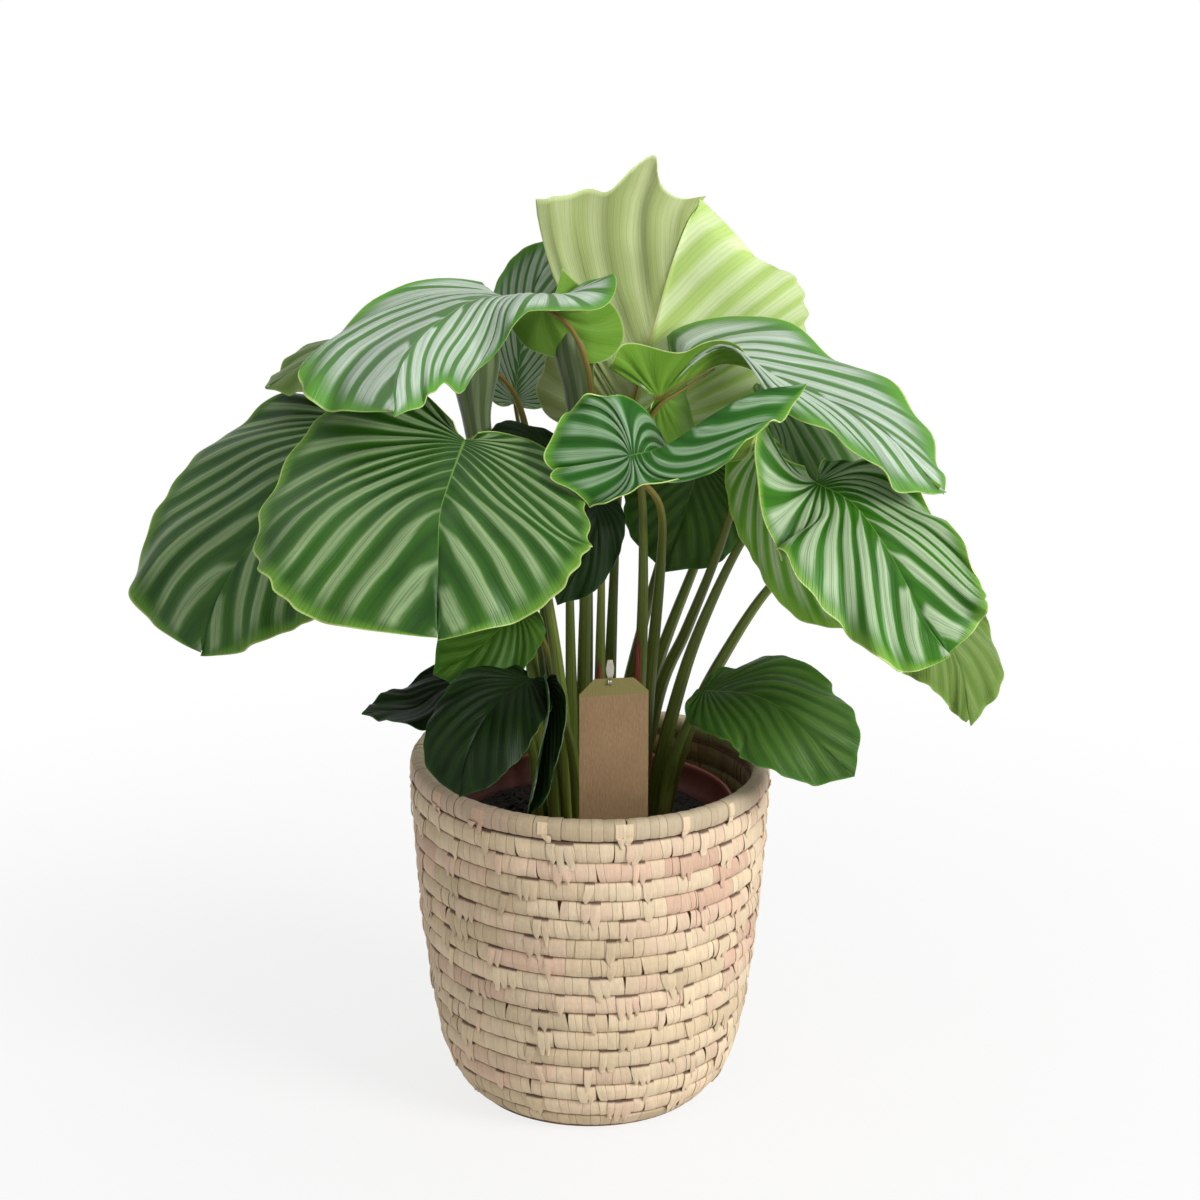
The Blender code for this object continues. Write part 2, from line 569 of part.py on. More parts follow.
makeBasket(straw)
makePot(plastic)
makeSoil(earth)
makeTag(kraft)
makePeg(softwood)
for leafName, leaf in leaves.items():
    rows = bigRows if leafName in bigLeaves else smallRows
    columns = bigColumns if leafName in bigLeaves else smallColumns
    mat = leafPale if leafName == "top_pale" else leafGreen
    makeBlade("leaf_" + leafName, leaf, rows, columns, mat)
    makeStem("stem_" + leafName, leaf, stalkGreen)
for spearName, stations in spears.items():
    points = [Vector(s[:3]) for s in stations]
    points[0].z = soilTop + gap
    lengths, path = smoothPath(points)
    # radii at even steps along the spear
    marks = [0.0]
    for i in range(1, len(points)):
        marks.append(marks[-1] + (points[i] - points[i - 1]).length)
    radii = []
    for k in range(25):
        at = marks[-1] * k / 24
        i = min(max(j for j in range(len(marks)) if marks[j] <= at + 1e-9), len(marks) - 2)
        share = (at - marks[i]) / (marks[i + 1] - marks[i])
        radii.append(stations[i][3] + (stations[i + 1][3] - stations[i][3]) * share)
    makeTube(spearName, points, radii, 8, 16, spearGreen)
for huskName, husk in husks.items():
    makeHusk(huskName, husk, huskBrown)
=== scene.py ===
import bisect
import math
import random
from functools import partial

import bmesh
import bpy
from mathutils import Euler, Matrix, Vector, noise


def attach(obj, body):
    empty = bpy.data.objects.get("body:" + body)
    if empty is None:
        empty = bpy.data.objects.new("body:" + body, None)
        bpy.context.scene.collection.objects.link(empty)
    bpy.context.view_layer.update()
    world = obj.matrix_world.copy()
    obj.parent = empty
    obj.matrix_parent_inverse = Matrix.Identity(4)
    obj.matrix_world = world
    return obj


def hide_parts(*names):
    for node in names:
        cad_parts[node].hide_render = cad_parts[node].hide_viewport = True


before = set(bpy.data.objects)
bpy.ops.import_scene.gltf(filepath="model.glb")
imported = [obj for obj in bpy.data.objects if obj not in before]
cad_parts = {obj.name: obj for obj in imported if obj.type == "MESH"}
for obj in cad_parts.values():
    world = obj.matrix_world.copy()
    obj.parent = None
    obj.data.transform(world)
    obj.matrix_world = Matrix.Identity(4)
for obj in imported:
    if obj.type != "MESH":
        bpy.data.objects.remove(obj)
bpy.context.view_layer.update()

# Metres and +Z up, except where a dictionary says millimetres. The basket stands on z 0 with its
# axis on the origin; the viewer is at -Y.

fullTurn = 2 * math.pi
# what the word after the dot in a node's kind sets
nodeModes = {"Math": "operation", "VectorMath": "operation", "Mix": "blend_type",
             "MapRange": "interpolation_type"}


def toLinear(code):
    # sRGB hex to the linear colour that shaders work in
    parts = [int(code[i:i + 2], 16) / 255 for i in (1, 3, 5)]
    linear = [c / 12.92 if c <= 0.04045 else ((c + 0.055) / 1.055) ** 2.4 for c in parts]
    return (*linear, 1)


def firstOutput(node):
    return next(output for output in node.outputs if output.enabled)


def addNode(tree, kind, *inputs, **named):
    # inputs fill the sockets in order, named ones are sockets or settings; each is a value, a hex
    # colour, a node or one of a node's outputs
    kind, _, mode = kind.partition(".")
    node = tree.nodes.new("ShaderNode" + kind)
    if kind == "Mix":
        node.data_type = "RGBA"
    if mode:
        setattr(node, nodeModes[kind], mode)
    links = []
    for name, value in named.items():
        if name in node.inputs:
            links.append((node.inputs[name], value))
        else:
            setattr(node, name, value)
    links += zip([socket for socket in node.inputs if socket.enabled], inputs)
    for socket, value in links:
        if isinstance(value, bpy.types.Node):
            value = firstOutput(value)
        if isinstance(value, bpy.types.NodeSocket):
            tree.links.new(value, socket)
        else:
            socket.default_value = toLinear(value) if isinstance(value, str) else value
    return node


def newMaterial(name, roughness, ior=1.45, gloss=0.5, metallic=0.0):
    # the material and a short way to add its nodes
    mat = bpy.data.materials.new(name)
    mat.use_nodes = True
    inputs = mat.node_tree.nodes["Principled BSDF"].inputs
    for socket, value in (("Roughness", roughness), ("IOR", ior), ("Specular IOR Level", gloss),
                          ("Metallic", metallic)):
        inputs[socket].default_value = value
    return mat, partial(addNode, mat.node_tree)


def paintOver(node, colour, *layers):
    # each layer is a mask and the colour it brings
    for mask, tint in layers:
        colour = node("Mix", mask, colour, tint)
    return colour


def drawnNoise(node, source, scale, detail, roughness=0.5):
    # noise drawn out by unequal scales: fibres, grain and streaks
    drawn = node("Mapping", Vector=source, Scale=scale)
    return node("TexNoise", Vector=drawn, Scale=1.0, Detail=detail, Roughness=roughness)


def finishSurface(mat, colour, height=None, depth=0.0003, roughness=None):
    # colour, relief and roughness of a material, from its pattern nodes
    tree = mat.node_tree
    inputs = tree.nodes["Principled BSDF"].inputs
    tree.links.new(firstOutput(colour), inputs["Base Color"])
    if roughness:
        tree.links.new(firstOutput(roughness), inputs["Roughness"])
    if height:
        bump = addNode(tree, "Bump", Strength=1.0, Distance=depth, Height=height)
        tree.links.new(firstOutput(bump), inputs["Normal"])
    return mat


def putInScene(name, data):
    thing = bpy.data.objects.new(name, data)
    bpy.context.scene.collection.objects.link(thing)
    return thing


def putMesh(name, bm, mats):
    mesh = bpy.data.meshes.new(name)
    bm.to_mesh(mesh)
    bm.free()
    for mat in mats:
        mesh.materials.append(mat)
    return putInScene(name, mesh)


def addPiece(name, bm, mats, node, slot, smoothAngle=40, **wall):
    # a finished piece that rides on the root and stands for its node; wall gives it a thickness
    piece = putMesh(name, bm, mats)
    if wall:
        solidify = piece.modifiers.new("wall", "SOLIDIFY")
        for key, value in wall.items():
            setattr(solidify, key, value)
        bpy.context.view_layer.update()
        thin = piece.data
        evaluated = piece.evaluated_get(bpy.context.evaluated_depsgraph_get())
        piece.data = bpy.data.meshes.new_from_object(evaluated)
        piece.modifiers.clear()
        bpy.data.meshes.remove(thin)
        piece.data.name = name
    piece.data.shade_smooth()
    piece.data.set_sharp_from_angle(angle=math.radians(smoothAngle))
    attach(piece, "root")
    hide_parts(node)


def sheet(rows, columns, place, bm=None, uvs=None, values=None):
    # a grid bent into shape by place(u 0..1 along, v 0..1 across), with its UVs and its values
    own = bm is None
    bm = bm or bmesh.new()
    uvs = uvs or {"UVMap": lambda u, v: (u, v)}
    values = values or {}
    uvLayers, floatLayers = bm.loops.layers.uv, bm.verts.layers.float
    layers = {name: uvLayers.get(name) or uvLayers.new(name) for name in uvs}
    marks = {name: floatLayers.get(name) or floatLayers.new(name) for name in values}
    grid = bmesh.ops.create_grid(bm, x_segments=rows, y_segments=columns, size=1.0)["verts"]
    flat = {}
    for vert in grid:
        flat[vert] = ((vert.co.x + 1) / 2, (vert.co.y + 1) / 2)
        vert.co = place(*flat[vert])
        for name, mark in marks.items():
            vert[mark] = values[name]
    for face in {face for vert in grid for face in vert.link_faces}:
        for loop in face.loops:
            for name, layer in layers.items():
                loop[layer].uv = uvs[name](*flat[loop.vert])
    if own:
        bmesh.ops.remove_doubles(bm, verts=bm.verts, dist=0.00003)
    return bm


def stepAlong(values, t):
    # value at t (0..1) in a run of equal steps, or the one value all along
    if not isinstance(values, (tuple, list)):
        return values
    if len(values) == 1:
        return values[0]
    place = min(max(t, 0), 1) * (len(values) - 1)
    low = min(int(place), len(values) - 2)
    return values[low] + (values[low + 1] - values[low]) * (place - low)


def smoothStep(low, high, value):
    t = min(max((value - low) / (high - low), 0), 1)
    return t * t * (3 - 2 * t)


def distances(points):
    # the distance run at each point
    runs = [0.0]
    for last, point in zip(points, points[1:]):
        runs.append(runs[-1] + (point - last).length)
    return runs


def smoothPath(points, steps=12):
    # a curve through the points, with the distance run at each
    pts = [Vector(p) for p in points]
    pts = [2 * pts[0] - pts[1]] + pts + [2 * pts[-1] - pts[-2]]
    path = []
    for a, b, c, d in zip(pts, pts[1:], pts[2:], pts[3:]):
        for k in range(steps):
            t = k / steps
            path.append(0.5 * (2 * b + (c - a) * t + (2 * a - 5 * b + 4 * c - d) * t * t
                               + (3 * b - a - 3 * c + d) * t ** 3))
    path.append(pts[-2])
    return distances(path), path


def pointAt(lengths, path, distance):
    distance = min(max(distance, 0), lengths[-1])
    i = min(max(bisect.bisect_left(lengths, distance), 1), len(path) - 1)
    return path[i - 1].lerp(path[i], (distance - lengths[i - 1]) / (lengths[i] - lengths[i - 1]))


def inMetres(value):
    return tuple(map(inMetres, value)) if isinstance(value, tuple) else value / 1000


studio = {
    "cameraAt": (0, -2.334, 1.141),
    "lookDown": 18.23,               # degrees
    "fieldOfView": 19.716,           # degrees
    "shiftX": 0.0083,
    "floorSize": 40,
    "floorDrop": 0.0005,             # keeps the floor clear of the basket's foot
    "ambient": 0.35,                 # even light from all round
    "lampsFace": (0, 0, 0.3),
    # softboxes: place, size and power
    "keyLight": ((2.3, -1.7, 1.9), 1.5, 90),
    "fillLight": ((-1.6, -2.0, 2.0), 1.8, 5),
    "topLight": ((-0.2, 0.2, 2.6), 1.6, 8),
}


def makeCamera():
    cam = bpy.data.cameras.new("camera")
    cam.sensor_width = 36
    cam.lens = cam.sensor_width / 2 / math.tan(math.radians(studio["fieldOfView"] / 2))
    cam.shift_x = studio["shiftX"]
    camera = putInScene("camera", cam)
    camera.location = studio["cameraAt"]
    camera.rotation_euler.x = math.radians(90 - studio["lookDown"])
    bpy.context.scene.camera = camera


def makeSoftbox(name):
    place, size, power = studio[name]
    light = bpy.data.lights.new(name, "AREA")
    light.shape = "DISK"
    light.size = size
    light.energy = power
    lamp = putInScene(name, light)
    lamp.location = place
    towards = Vector(studio["lampsFace"]) - lamp.location
    lamp.rotation_euler = towards.to_track_quat("-Z", "Y").to_euler()


def seenDirectly(node):
    # 1 for what the camera, a reflection or a clear body shows
    rays = node("LightPath").outputs
    shown = node("Math.MAXIMUM", rays["Is Camera Ray"], rays["Is Glossy Ray"])
    return node("Math.MAXIMUM", shown, rays["Is Transmission Ray"])


def makeFloor():
    # seamless white paper: matt, lifted to white where it isn't in shadow
    mat, node = newMaterial("floorPaper", 0.9)
    finishSurface(mat, node("Mix", node("TexNoise", Scale=220.0), "#e8e8e6", "#eeeeec"))
    # further out it is evenly white, and round the object it keeps the shadow
    away = node("VectorMath.LENGTH", node("TexCoord").outputs["Object"]).outputs["Value"]
    reach = node("MapRange.SMOOTHSTEP", away, 0.25, 1.0, 0.80, 1.0)
    share = node("Math.MULTIPLY", seenDirectly(node), reach)
    glow = node("Emission", Color="#ffffff", Strength=1.0)
    nodes = mat.node_tree.nodes
    blend = node("MixShader", share, nodes["Principled BSDF"], glow)
    mat.node_tree.links.new(blend.outputs[0], nodes["Material Output"].inputs["Surface"])
    bm = bmesh.new()
    bmesh.ops.create_grid(bm, x_segments=1, y_segments=1, size=studio["floorSize"] / 2)
    floor = putMesh("floor", bm, [mat])
    floor.location.z = -studio["floorDrop"]


def makeStudio():
    scene = bpy.context.scene
    scene.view_settings.view_transform = "Standard"
    scene.world = world = bpy.data.worlds.new("studio")
    world.use_nodes = True
    world.node_tree.nodes.clear()
    node = partial(addNode, world.node_tree)
    strength = node("MapRange", seenDirectly(node), 0.0, 1.0, studio["ambient"], 1.0)
    node("OutputWorld", Surface=node("Background", Color="#ffffff", Strength=strength))
    for name in ("keyLight", "fillLight", "topLight"):
        makeSoftbox(name)
    makeFloor()
    makeCamera()
    print("camera, floor and lights made")


basketBuild = {
    "height": 0.2525,                # at the front; the coil climbs one pitch a turn
    "coils": 17,
    "startAngle": 100,               # degrees; where the coil starts and ends, at the back
    "wall": 0.0125,
    "lineRise": 0.0012,              # how far the lining stands in from the wall
    "floor": 0.012,
    "seamDepth": 0.0040,             # how far a seam sits behind the fullest part of a coil
    "stripWidth": (0.0048, 0.0125),  # palm-leaf strips wound round the coils
    "stripThickness": 0.0004,
    "stripGap": 0.00022,             # between two strips
    "openSplits": 0.08,              # share of strip joints that gape, and by how much
    "topGape": (0.0018, 0.0042),
    "footGape": (0.0014, 0.0032),
    "jointLean": (-0.0006, 0.0011),  # mean and spread
    "jointBow": 0.00035,
    "runWidth": (0.030, 0.110),      # how long one leaf's colour lasts along a coil
    "linedCoils": 3,                 # coils under the rim whose inner side is seen
    "wrapLength": 0.016,             # of a strip on the wall, over the rim and in a stitch
    "rimWrapLength": 0.038,
    "stitchLength": 0.018,
    "stitchWidth": (0.0044, 0.0080),
    "stitchEvery": (0.026, 0.058),
    "stitchDrops": (0.10, 0.15, 0.20, 0.28, 0.42),    # how far down the coil below they reach
}
# outer radius at chosen heights
basketOutline = ((0.0, 0.084), (0.003, 0.088), (0.012, 0.097), (0.025, 0.104), (0.040, 0.1095),
                 (0.070, 0.115), (0.105, 0.1195), (0.140, 0.1235), (0.175, 0.1265),
                 (0.210, 0.1285), (0.245, 0.130), (0.270, 0.130))
palmTones = {
    "splitPalmLeaf": ("#d3bf9c", "#dfc8a5", "#e9d4b3", "#e4c5aa", "#dbb79d"),
    # the shaded tones are the same leaf darkened to olive: painted shade for the inside of the
    # basket's wall
    "shadedPalmLeaf": ("#6f6a3f", "#7d7347", "#877a4a", "#8a7349", "#7c6440"),
}
coilPitch = basketBuild["height"] / basketBuild["coils"]
topCoil = basketBuild["coils"] - 1
stripWall = {"thickness": basketBuild["stripThickness"], "offset": 0}


def basketRadius(height):
    for (low, lowRadius), (high, highRadius) in zip(basketOutline, basketOutline[1:]):
        if height <= high:
            return lowRadius + (highRadius - lowRadius) * max(height - low, 0) / (high - low)
    return basketOutline[-1][1]


def innerRadius(height):
    return basketRadius(height) - basketBuild["wall"] + basketBuild["lineRise"]


def seamHeight(coil, share):
    # height of a coil's lower seam, share 0..1 of the way round
    return coilPitch * (coil + share - 0.5)


def coilLength(coil):
    return fullTurn * basketRadius(max(seamHeight(coil, 0.5) + coilPitch / 2, 0))


def onBasket(radius, share, height):
    angle = math.radians(basketBuild["startAngle"]) - fullTurn * share
    return Vector((radius * math.cos(angle), radius * math.sin(angle), height))


def coilFace(t):
    # how far a coil stands out from its seam, t 0 at its lower edge, 1 at its top
    full = basketBuild["seamDepth"]
    if t < 0.05:
        return full * (0.86 - 7 * (0.05 - t))
    if t < 0.32:
        return full * (0.86 + 0.14 * math.sin((t - 0.05) / 0.27 * math.pi / 2))
    return full * math.sqrt(max(0, 1 - ((t - 0.32) / 0.70) ** 2))


def coilPoint(coil, share, t, lift):
    height = max(seamHeight(coil, share) + coilPitch * t, 0.0006 + lift)
    radius = basketRadius(height) - basketBuild["seamDepth"] - 0.0003 + coilFace(t) + lift
    return onBasket(radius, share, height)


def topCoilLeft(coil, share):
    # height left in the end of the coil, which tapers out at the back
    return 1.0 if coil < topCoil else 1 - 0.93 * smoothStep(0.84, 1.0, share)


def rimPoint(coil, share, u, lift):
    # once over the top coil, from its outer lower edge to its inner one
    left = topCoilLeft(coil, share)
    seam = seamHeight(coil, share)
    turn = math.radians(-52 + 284 * u)
    wide = (basketBuild["wall"] / 2 - 0.0003) * (0.55 + 0.45 * left) + lift
    high = coilPitch / 2 * left + lift
    x, z = (math.copysign(abs(side) ** 0.8, side) for side in (math.cos(turn), math.sin(turn)))
    middle = basketRadius(seam) - basketBuild["wall"] / 2
    return onBasket(middle + wide * x, share, seam + coilPitch / 2 * left + high * z)


def overTheRim(coil, share):
    return coil == topCoil or (coil == topCoil - 1 and share > 0.80)


def makePalmLeaf(name):
    # dried palm leaf split into strips: satin, straight fibres, each leaf its own straw tone
    mat, node = newMaterial(name, 0.62)
    fibreAt = node("UVMap", uv_map="UVMap")
    strip = node("SeparateXYZ", node("UVMap", uv_map="stripPlace")).outputs
    hue, tone = (node("Attribute", attribute_name=key).outputs["Fac"] for key in ("hue", "tone"))
    leafTone = node("ValToRGB", hue)
    ramp = leafTone.color_ramp.elements
    stops = palmTones[name]
    ramp[0].color = toLinear(stops[0])
    ramp[1].color = toLinear(stops[-1])
    for i in (1, 2, 3):
        ramp.new(i / 4).color = toLinear(stops[i])
    # 0.4 mm fibres, as finer ones wouldn't show
    fibre = drawnNoise(node, fibreAt, (1.1, 22.0, 1.0), 4.0, 0.6)
    blotch = drawnNoise(node, fibreAt, (0.8, 2.4, 1.0), 2.0)
    streak = node("MapRange", fibre, 0.3, 0.7, 0.88, 1.07)
    patch = node("MapRange", blotch, 0.3, 0.7, 0.93, 1.05)
    light = node("Math.MULTIPLY", node("Math.MULTIPLY", streak, patch), tone)
    colour = node("Mix.MULTIPLY", 1.0, leafTone, light)
    # edges of a strip dry darker, and the end under the next coil gets painted shadow: the dark
    # line that the coil above casts
    fromMiddle = node("Math.ABSOLUTE", node("Math.SUBTRACT", strip[1], 0.5))
    border = node("MapRange.SMOOTHSTEP", fromMiddle, 0.46, 0.5, 0.0, 0.5)
    worn = node("MapRange", blotch, 0.36, 0.58, 0.2, 1.0)
    paintedSeamShadow = node("MapRange.SMOOTHSTEP", strip[0], 0.05, 0.15, 0.92, 0.0)
    layers = [(node("Math.MULTIPLY", border, worn), "#6e4530"), (paintedSeamShadow, "#4a2616")]
    if name == "splitPalmLeaf":
        # past the top of the rim it is shaded
        layers.append((node("MapRange.SMOOTHSTEP", strip[0], 1.55, 1.85, 0.0, 0.75), "#84804c"))
    rough = node("MapRange", fibre, 0.3, 0.7, 0.55, 0.75)
    return finishSurface(mat, paintOver(node, colour, *layers), fibre, 0.0004, rough)


def makeCoilCore():
    # bundled palm ribs inside the coils: coarse brown fibres, matt
    mat, node = newMaterial("coilCoreFibre", 0.85)
    fibre = drawnNoise(node, node("TexCoord").outputs["Object"], (900, 900, 180), 3.0)
    return finishSurface(mat, node("Mix", fibre, "#5a3a22", "#a5794c"), fibre, 0.0005)


def addStrip(bm, place, rows, hue, tone, chance, width, length, turn=0.0):
    # one strip; its fibres run in real centimetres, and turn 1 marks one that goes over the rim
    start = chance.uniform(0, 50)
    sheet(rows, 2, place, bm,
          {"UVMap": lambda u, v: (start + u * length * 100, start * 3.1 + v * width * 100),
           "stripPlace": lambda u, v: (u + turn, v)}, {"hue": hue, "tone": tone})


def coilJoints(coil, chance):
    # strip joints along a coil: where each starts, how it leans and how far it gapes top and foot
    length = coilLength(coil)
    narrow, wide = basketBuild["stripWidth"]
    closed = basketBuild["stripGap"]
    split = basketBuild["openSplits"] / 2
    topGape, footGape = basketBuild["topGape"], basketBuild["footGape"]
    joints = []
    at = 0.0
    runHue = chance.random()
    runLeft = 0.0
    while at < length - narrow:
        if runLeft <= 0:
            runHue = min(max(chance.gauss(0.5 + 0.02 * (coil - 8), 0.24), 0), 1)
            runTone = chance.uniform(0.90, 1.03)
            runLeft = chance.uniform(*basketBuild["runWidth"])
        gape = chance.random()
        joints.append({"at": at,
                       "topGap": chance.uniform(*topGape) if gape < split else closed,
                       "footGap": chance.uniform(*footGape) if 1 - gape < split else closed,
                       "lean": chance.gauss(*basketBuild["jointLean"]),
                       "bow": chance.gauss(0, basketBuild["jointBow"]),
                       "hue": min(max(runHue + chance.gauss(0, 0.06), 0), 1),
                       "tone": runTone * chance.uniform(0.97, 1.03)})
        step = chance.uniform(narrow, wide)
        at += step
        runLeft -= step
    joints.append(dict(joints[0], at=length))
    return length, joints


def stripPlace(coil, length, left, right, chance, over, inner):
    # how one strip lies between two joints; over the rim, on the wall or inside it
    foot = -0.035 + chance.gauss(0, 0.026)
    lift = chance.uniform(0, 0.00028)
    camber = 0.0002
    tilt = chance.gauss(0, 0.00016)

    def edgeAt(joint, u, side):
        gap = joint["topGap"] * (1 - u) ** 2 + joint["footGap"] * u * u
        bow = joint["bow"] * math.sin(math.pi * u)
        return joint["at"] + joint["lean"] * (u - 0.5) + bow + side * gap / 2

    def place(u, v):
        start, end = edgeAt(left, u, 1), edgeAt(right, u, -1)
        share = (start + (end - start) * v) / length
        rise = lift + camber * (1 - (2 * v - 1) ** 2) + tilt * (2 * v - 1)
        if over:
            return rimPoint(coil, share % 1.0 if share < 1 else share, u, rise)
        t = 1.03 + (foot - 1.03) * u
        if not inner:
            return coilPoint(coil, share, t, rise)
        height = max(seamHeight(coil, share) + coilPitch * t, 0.014)
        bulge = 0.0016 * math.sqrt(max(0, 1 - (2 * t - 1) ** 2 * 0.9))
        return onBasket(innerRadius(height) - bulge - rise, share, height)

    return place


def makeBasketCore():
    # the coils themselves, with the basket's floor and inner wall
    rounded = 0.004                  # how far down the rim's rounding reaches
    floor = basketBuild["floor"]
    footRadius = 0.0845
    footEnd, outerEnd, innerEnd = 0.08, 0.55, 0.92    # shares of the way from foot to floor

    def outside(height, share):
        t = (height / coilPitch - share + 0.5) % 1.0
        return basketRadius(height) - basketBuild["seamDepth"] - 0.0019 + 0.55 * coilFace(t)

    def place(u, v):
        top = seamHeight(topCoil, v) + coilPitch * topCoilLeft(topCoil, v) - 0.0016
        if u < footEnd:
            return onBasket(footRadius * u / footEnd, v, 0.0)
        if u < outerEnd:
            height = top * (u - footEnd) / (outerEnd - footEnd)
            radius = outside(height, v) - rounded * smoothStep(top - rounded, top, height)
            return onBasket(radius, v, height)
        if u < innerEnd:
            height = top - (top - floor) * (u - outerEnd) / (innerEnd - outerEnd)
            radius = innerRadius(height) + 0.003 * smoothStep(top - rounded, top, height)
            return onBasket(radius, v, height)
        return onBasket(innerRadius(floor) * (1 - u) / (1 - innerEnd), v, floor)

    bm = sheet(150, 110, place)
    bmesh.ops.recalc_face_normals(bm, faces=bm.faces)
    addPiece("basket_core", bm, [makeCoilCore()], "basket", "straw_coil", 50)


def makeBasket():
    chance = random.Random(17)
    palmLeaf, shadedLeaf = makePalmLeaf("splitPalmLeaf"), makePalmLeaf("shadedPalmLeaf")
    coils, rim, lining = bmesh.new(), bmesh.new(), bmesh.new()
    wrapLength = basketBuild["wrapLength"]
    jointsOf = []
    for coil in range(basketBuild["coils"]):
        lined = topCoil - basketBuild["linedCoils"] <= coil < topCoil
        for inner in (False, True) if lined else (False,):
            length, joints = coilJoints(coil, chance)
            if not inner:
                jointsOf.append(joints)
            for left, right in zip(joints, joints[1:]):
                middle = (left["at"] + right["at"]) / 2 / length
                over = overTheRim(coil, middle)
                if seamHeight(coil, middle) + coilPitch < 0.004 or (inner and over):
                    continue
                place = stripPlace(coil, length, left, right, chance, over, inner)
                hue, tone, width = left["hue"], left["tone"], right["at"] - left["at"]
                if over:
                    # the rim's strips are drawn browner and darker
                    addStrip(rim, place, 14, hue * 0.7, tone * 0.74, chance, width,
                             basketBuild["rimWrapLength"], 1.0)
                elif inner:
                    addStrip(lining, place, 4, hue, tone, chance, width, wrapLength)
                else:
                    addStrip(coils, place, 5, hue, tone, chance, width, wrapLength)
    makeBasketCore()
    for name, bm, mat in (("basket_coil_wraps", coils, palmLeaf),
                          ("basket_rim_wraps", rim, palmLeaf),
                          # the wall's inner side takes the shaded tones, painted shade
                          ("basket_inner_wraps", lining, shadedLeaf)):
        addPiece(name, bm, [mat], "basket", "straw_coil", 45, **stripWall)
    print("basket coils wrapped")
    makeStitches(palmLeaf, jointsOf)


def stitchPlace(coil, length, x, width, k, slant, chance):
    # how one stitch runs down its own coil and onto the one below
    drop = chance.choice(basketBuild["stitchDrops"]) * chance.uniform(0.8, 1.2)
    pull = slant + chance.gauss(0, 0.0007)
    lift = 0.00055 + chance.uniform(0, 0.0004) + 0.0002 * (k % 2)
    point = chance.uniform(0.25, 0.95)

    def place(u, v):
        t = 0.99 - (0.99 + drop) * u
        narrow = 1 - point * smoothStep(0.62, 1.0, u) ** 1.5 - 0.12 * u
        middle = x + width / 2 + pull * smoothStep(0.2, 1, u)
        share = (middle + (v - 0.5) * width * narrow) / length
        crown = 0.0006 * (1 - (2 * v - 1) ** 2) * (0.4 + 0.6 * u)
        stand = lift + crown + 0.0005 * math.exp(-((t + 0.02) / 0.16) ** 2)
        if t >= 0:
            return coilPoint(coil, share, t, stand)
        below = coilPoint(coil - 1, share, 1 + t, stand + 0.0005)
        flat = coilPoint(coil, share, 0.0, stand).lerp(below, smoothStep(0, -0.3, t) * 0.75)
        flat.z = max(seamHeight(coil, share) + coilPitch * t, 0.0008)
        return flat

    def tab(u, v):
        # from the rim's outer face down over the coil below
        if u < 0.5:
            return rimPoint(coil, (x + v * width) / length, 0.34 - 0.62 * u, 0.0006)
        return place(0.62 + 0.38 * (u - 0.5) / 0.5, v)

    return place, tab


def makeStitches(palmLeaf, jointsOf):
    # groups of strips that pass down over the coil below and pull the two together
    chance = random.Random(5)
    long = basketBuild["stitchLength"]
    bm = bmesh.new()
    for coil in range(1, basketBuild["coils"]):
        length = coilLength(coil)
        at = chance.uniform(0, 0.04)
        while at < length - 0.02:
            # a stitch is the end of the leaf wound there, so it has that leaf's colour
            near = [joint for joint in jointsOf[coil] if joint["at"] <= at][-1]
            hue = near["hue"]
            tone = near["tone"] * chance.uniform(0.97, 1.05)
            count = chance.choice((1, 1, 2, 2, 3))
            slant = chance.gauss(0, 0.0016)
            for k in range(count):
                width = chance.uniform(*basketBuild["stitchWidth"])
                place, tab = stitchPlace(coil, length, at, width, k, slant, chance)
                if overTheRim(coil, (at + width / 2) / length):
                    addStrip(bm, tab, 8, hue, tone, chance, width, long, 0.3)
                else:
                    addStrip(bm, place, 6, min(max(hue + chance.gauss(0, 0.05), 0), 1),
                             tone * chance.uniform(0.96, 1.04), chance, width, long)
                at += width * chance.uniform(0.86, 1.02)
            at += chance.uniform(*basketBuild["stitchEvery"])
    addPiece("basket_stitches", bm, [palmLeaf], "basket", "straw_coil", 45, **stripWall)
    print("basket stitches made")


potBuild = {
    "floor": 0.0123, "top": 0.220, "wall": 0.0018,
    "footRadius": 0.078, "wallTopRadius": 0.0985, "rimRadius": 0.105, "rimDrop": 0.020,
    "steps": 128,
}
soilBuild = {
    "top": 0.200,
    "rings": 56,
    "steps": 150,
    "roughness": 0.0022,             # height of its lumps
    "crumbs": 620,
    "crumbSize": (0.0007, 0.0024),
    "rootFibres": 70,
    "fibreRadii": (0.00035, 0.0003, 0.0002),
    "fibrePoints": 5,
    "fibreStep": 0.004,              # between two points of a fibre
}


def turned(profile, steps):
    # a chain of (radius, height) points spun into a closed solid
    bm = bmesh.new()
    verts = [bm.verts.new((radius, 0, height)) for radius, height in profile]
    edges = [bm.edges.new(pair) for pair in zip(verts, verts[1:])]
    bmesh.ops.spin(bm, geom=verts + edges, cent=(0, 0, 0), axis=(0, 0, 1), angle=fullTurn,
                   steps=steps, use_merge=True)
    bmesh.ops.remove_doubles(bm, verts=bm.verts, dist=0.00002)
    bmesh.ops.recalc_face_normals(bm, faces=bm.faces)
    return bm


def makePotPlastic():
    # injection-moulded polypropylene: even terracotta brown, satin, dusty scuffs, a worn lip
    mat, node = newMaterial("mouldedPolypropylene", 0.4, 1.49)
    spot = node("TexCoord").outputs["Object"]
    scuff = node("TexNoise", Vector=spot, Scale=60.0, Detail=5.0)
    dust = node("MapRange", scuff, 0.55, 0.8, 0.0, 0.35)
    height = node("SeparateXYZ", spot).outputs[2]
    lip = node("MapRange", height, 0.2165, 0.2198, 0.0, 0.7)
    colour = paintOver(node, "#6b2f26", (lip, "#9a4a3c"), (dust, "#8a6a5a"))
    rough = node("MapRange", scuff, 0.3, 0.7, 0.32, 0.55)
    return finishSurface(mat, colour, scuff, 0.0001, rough)


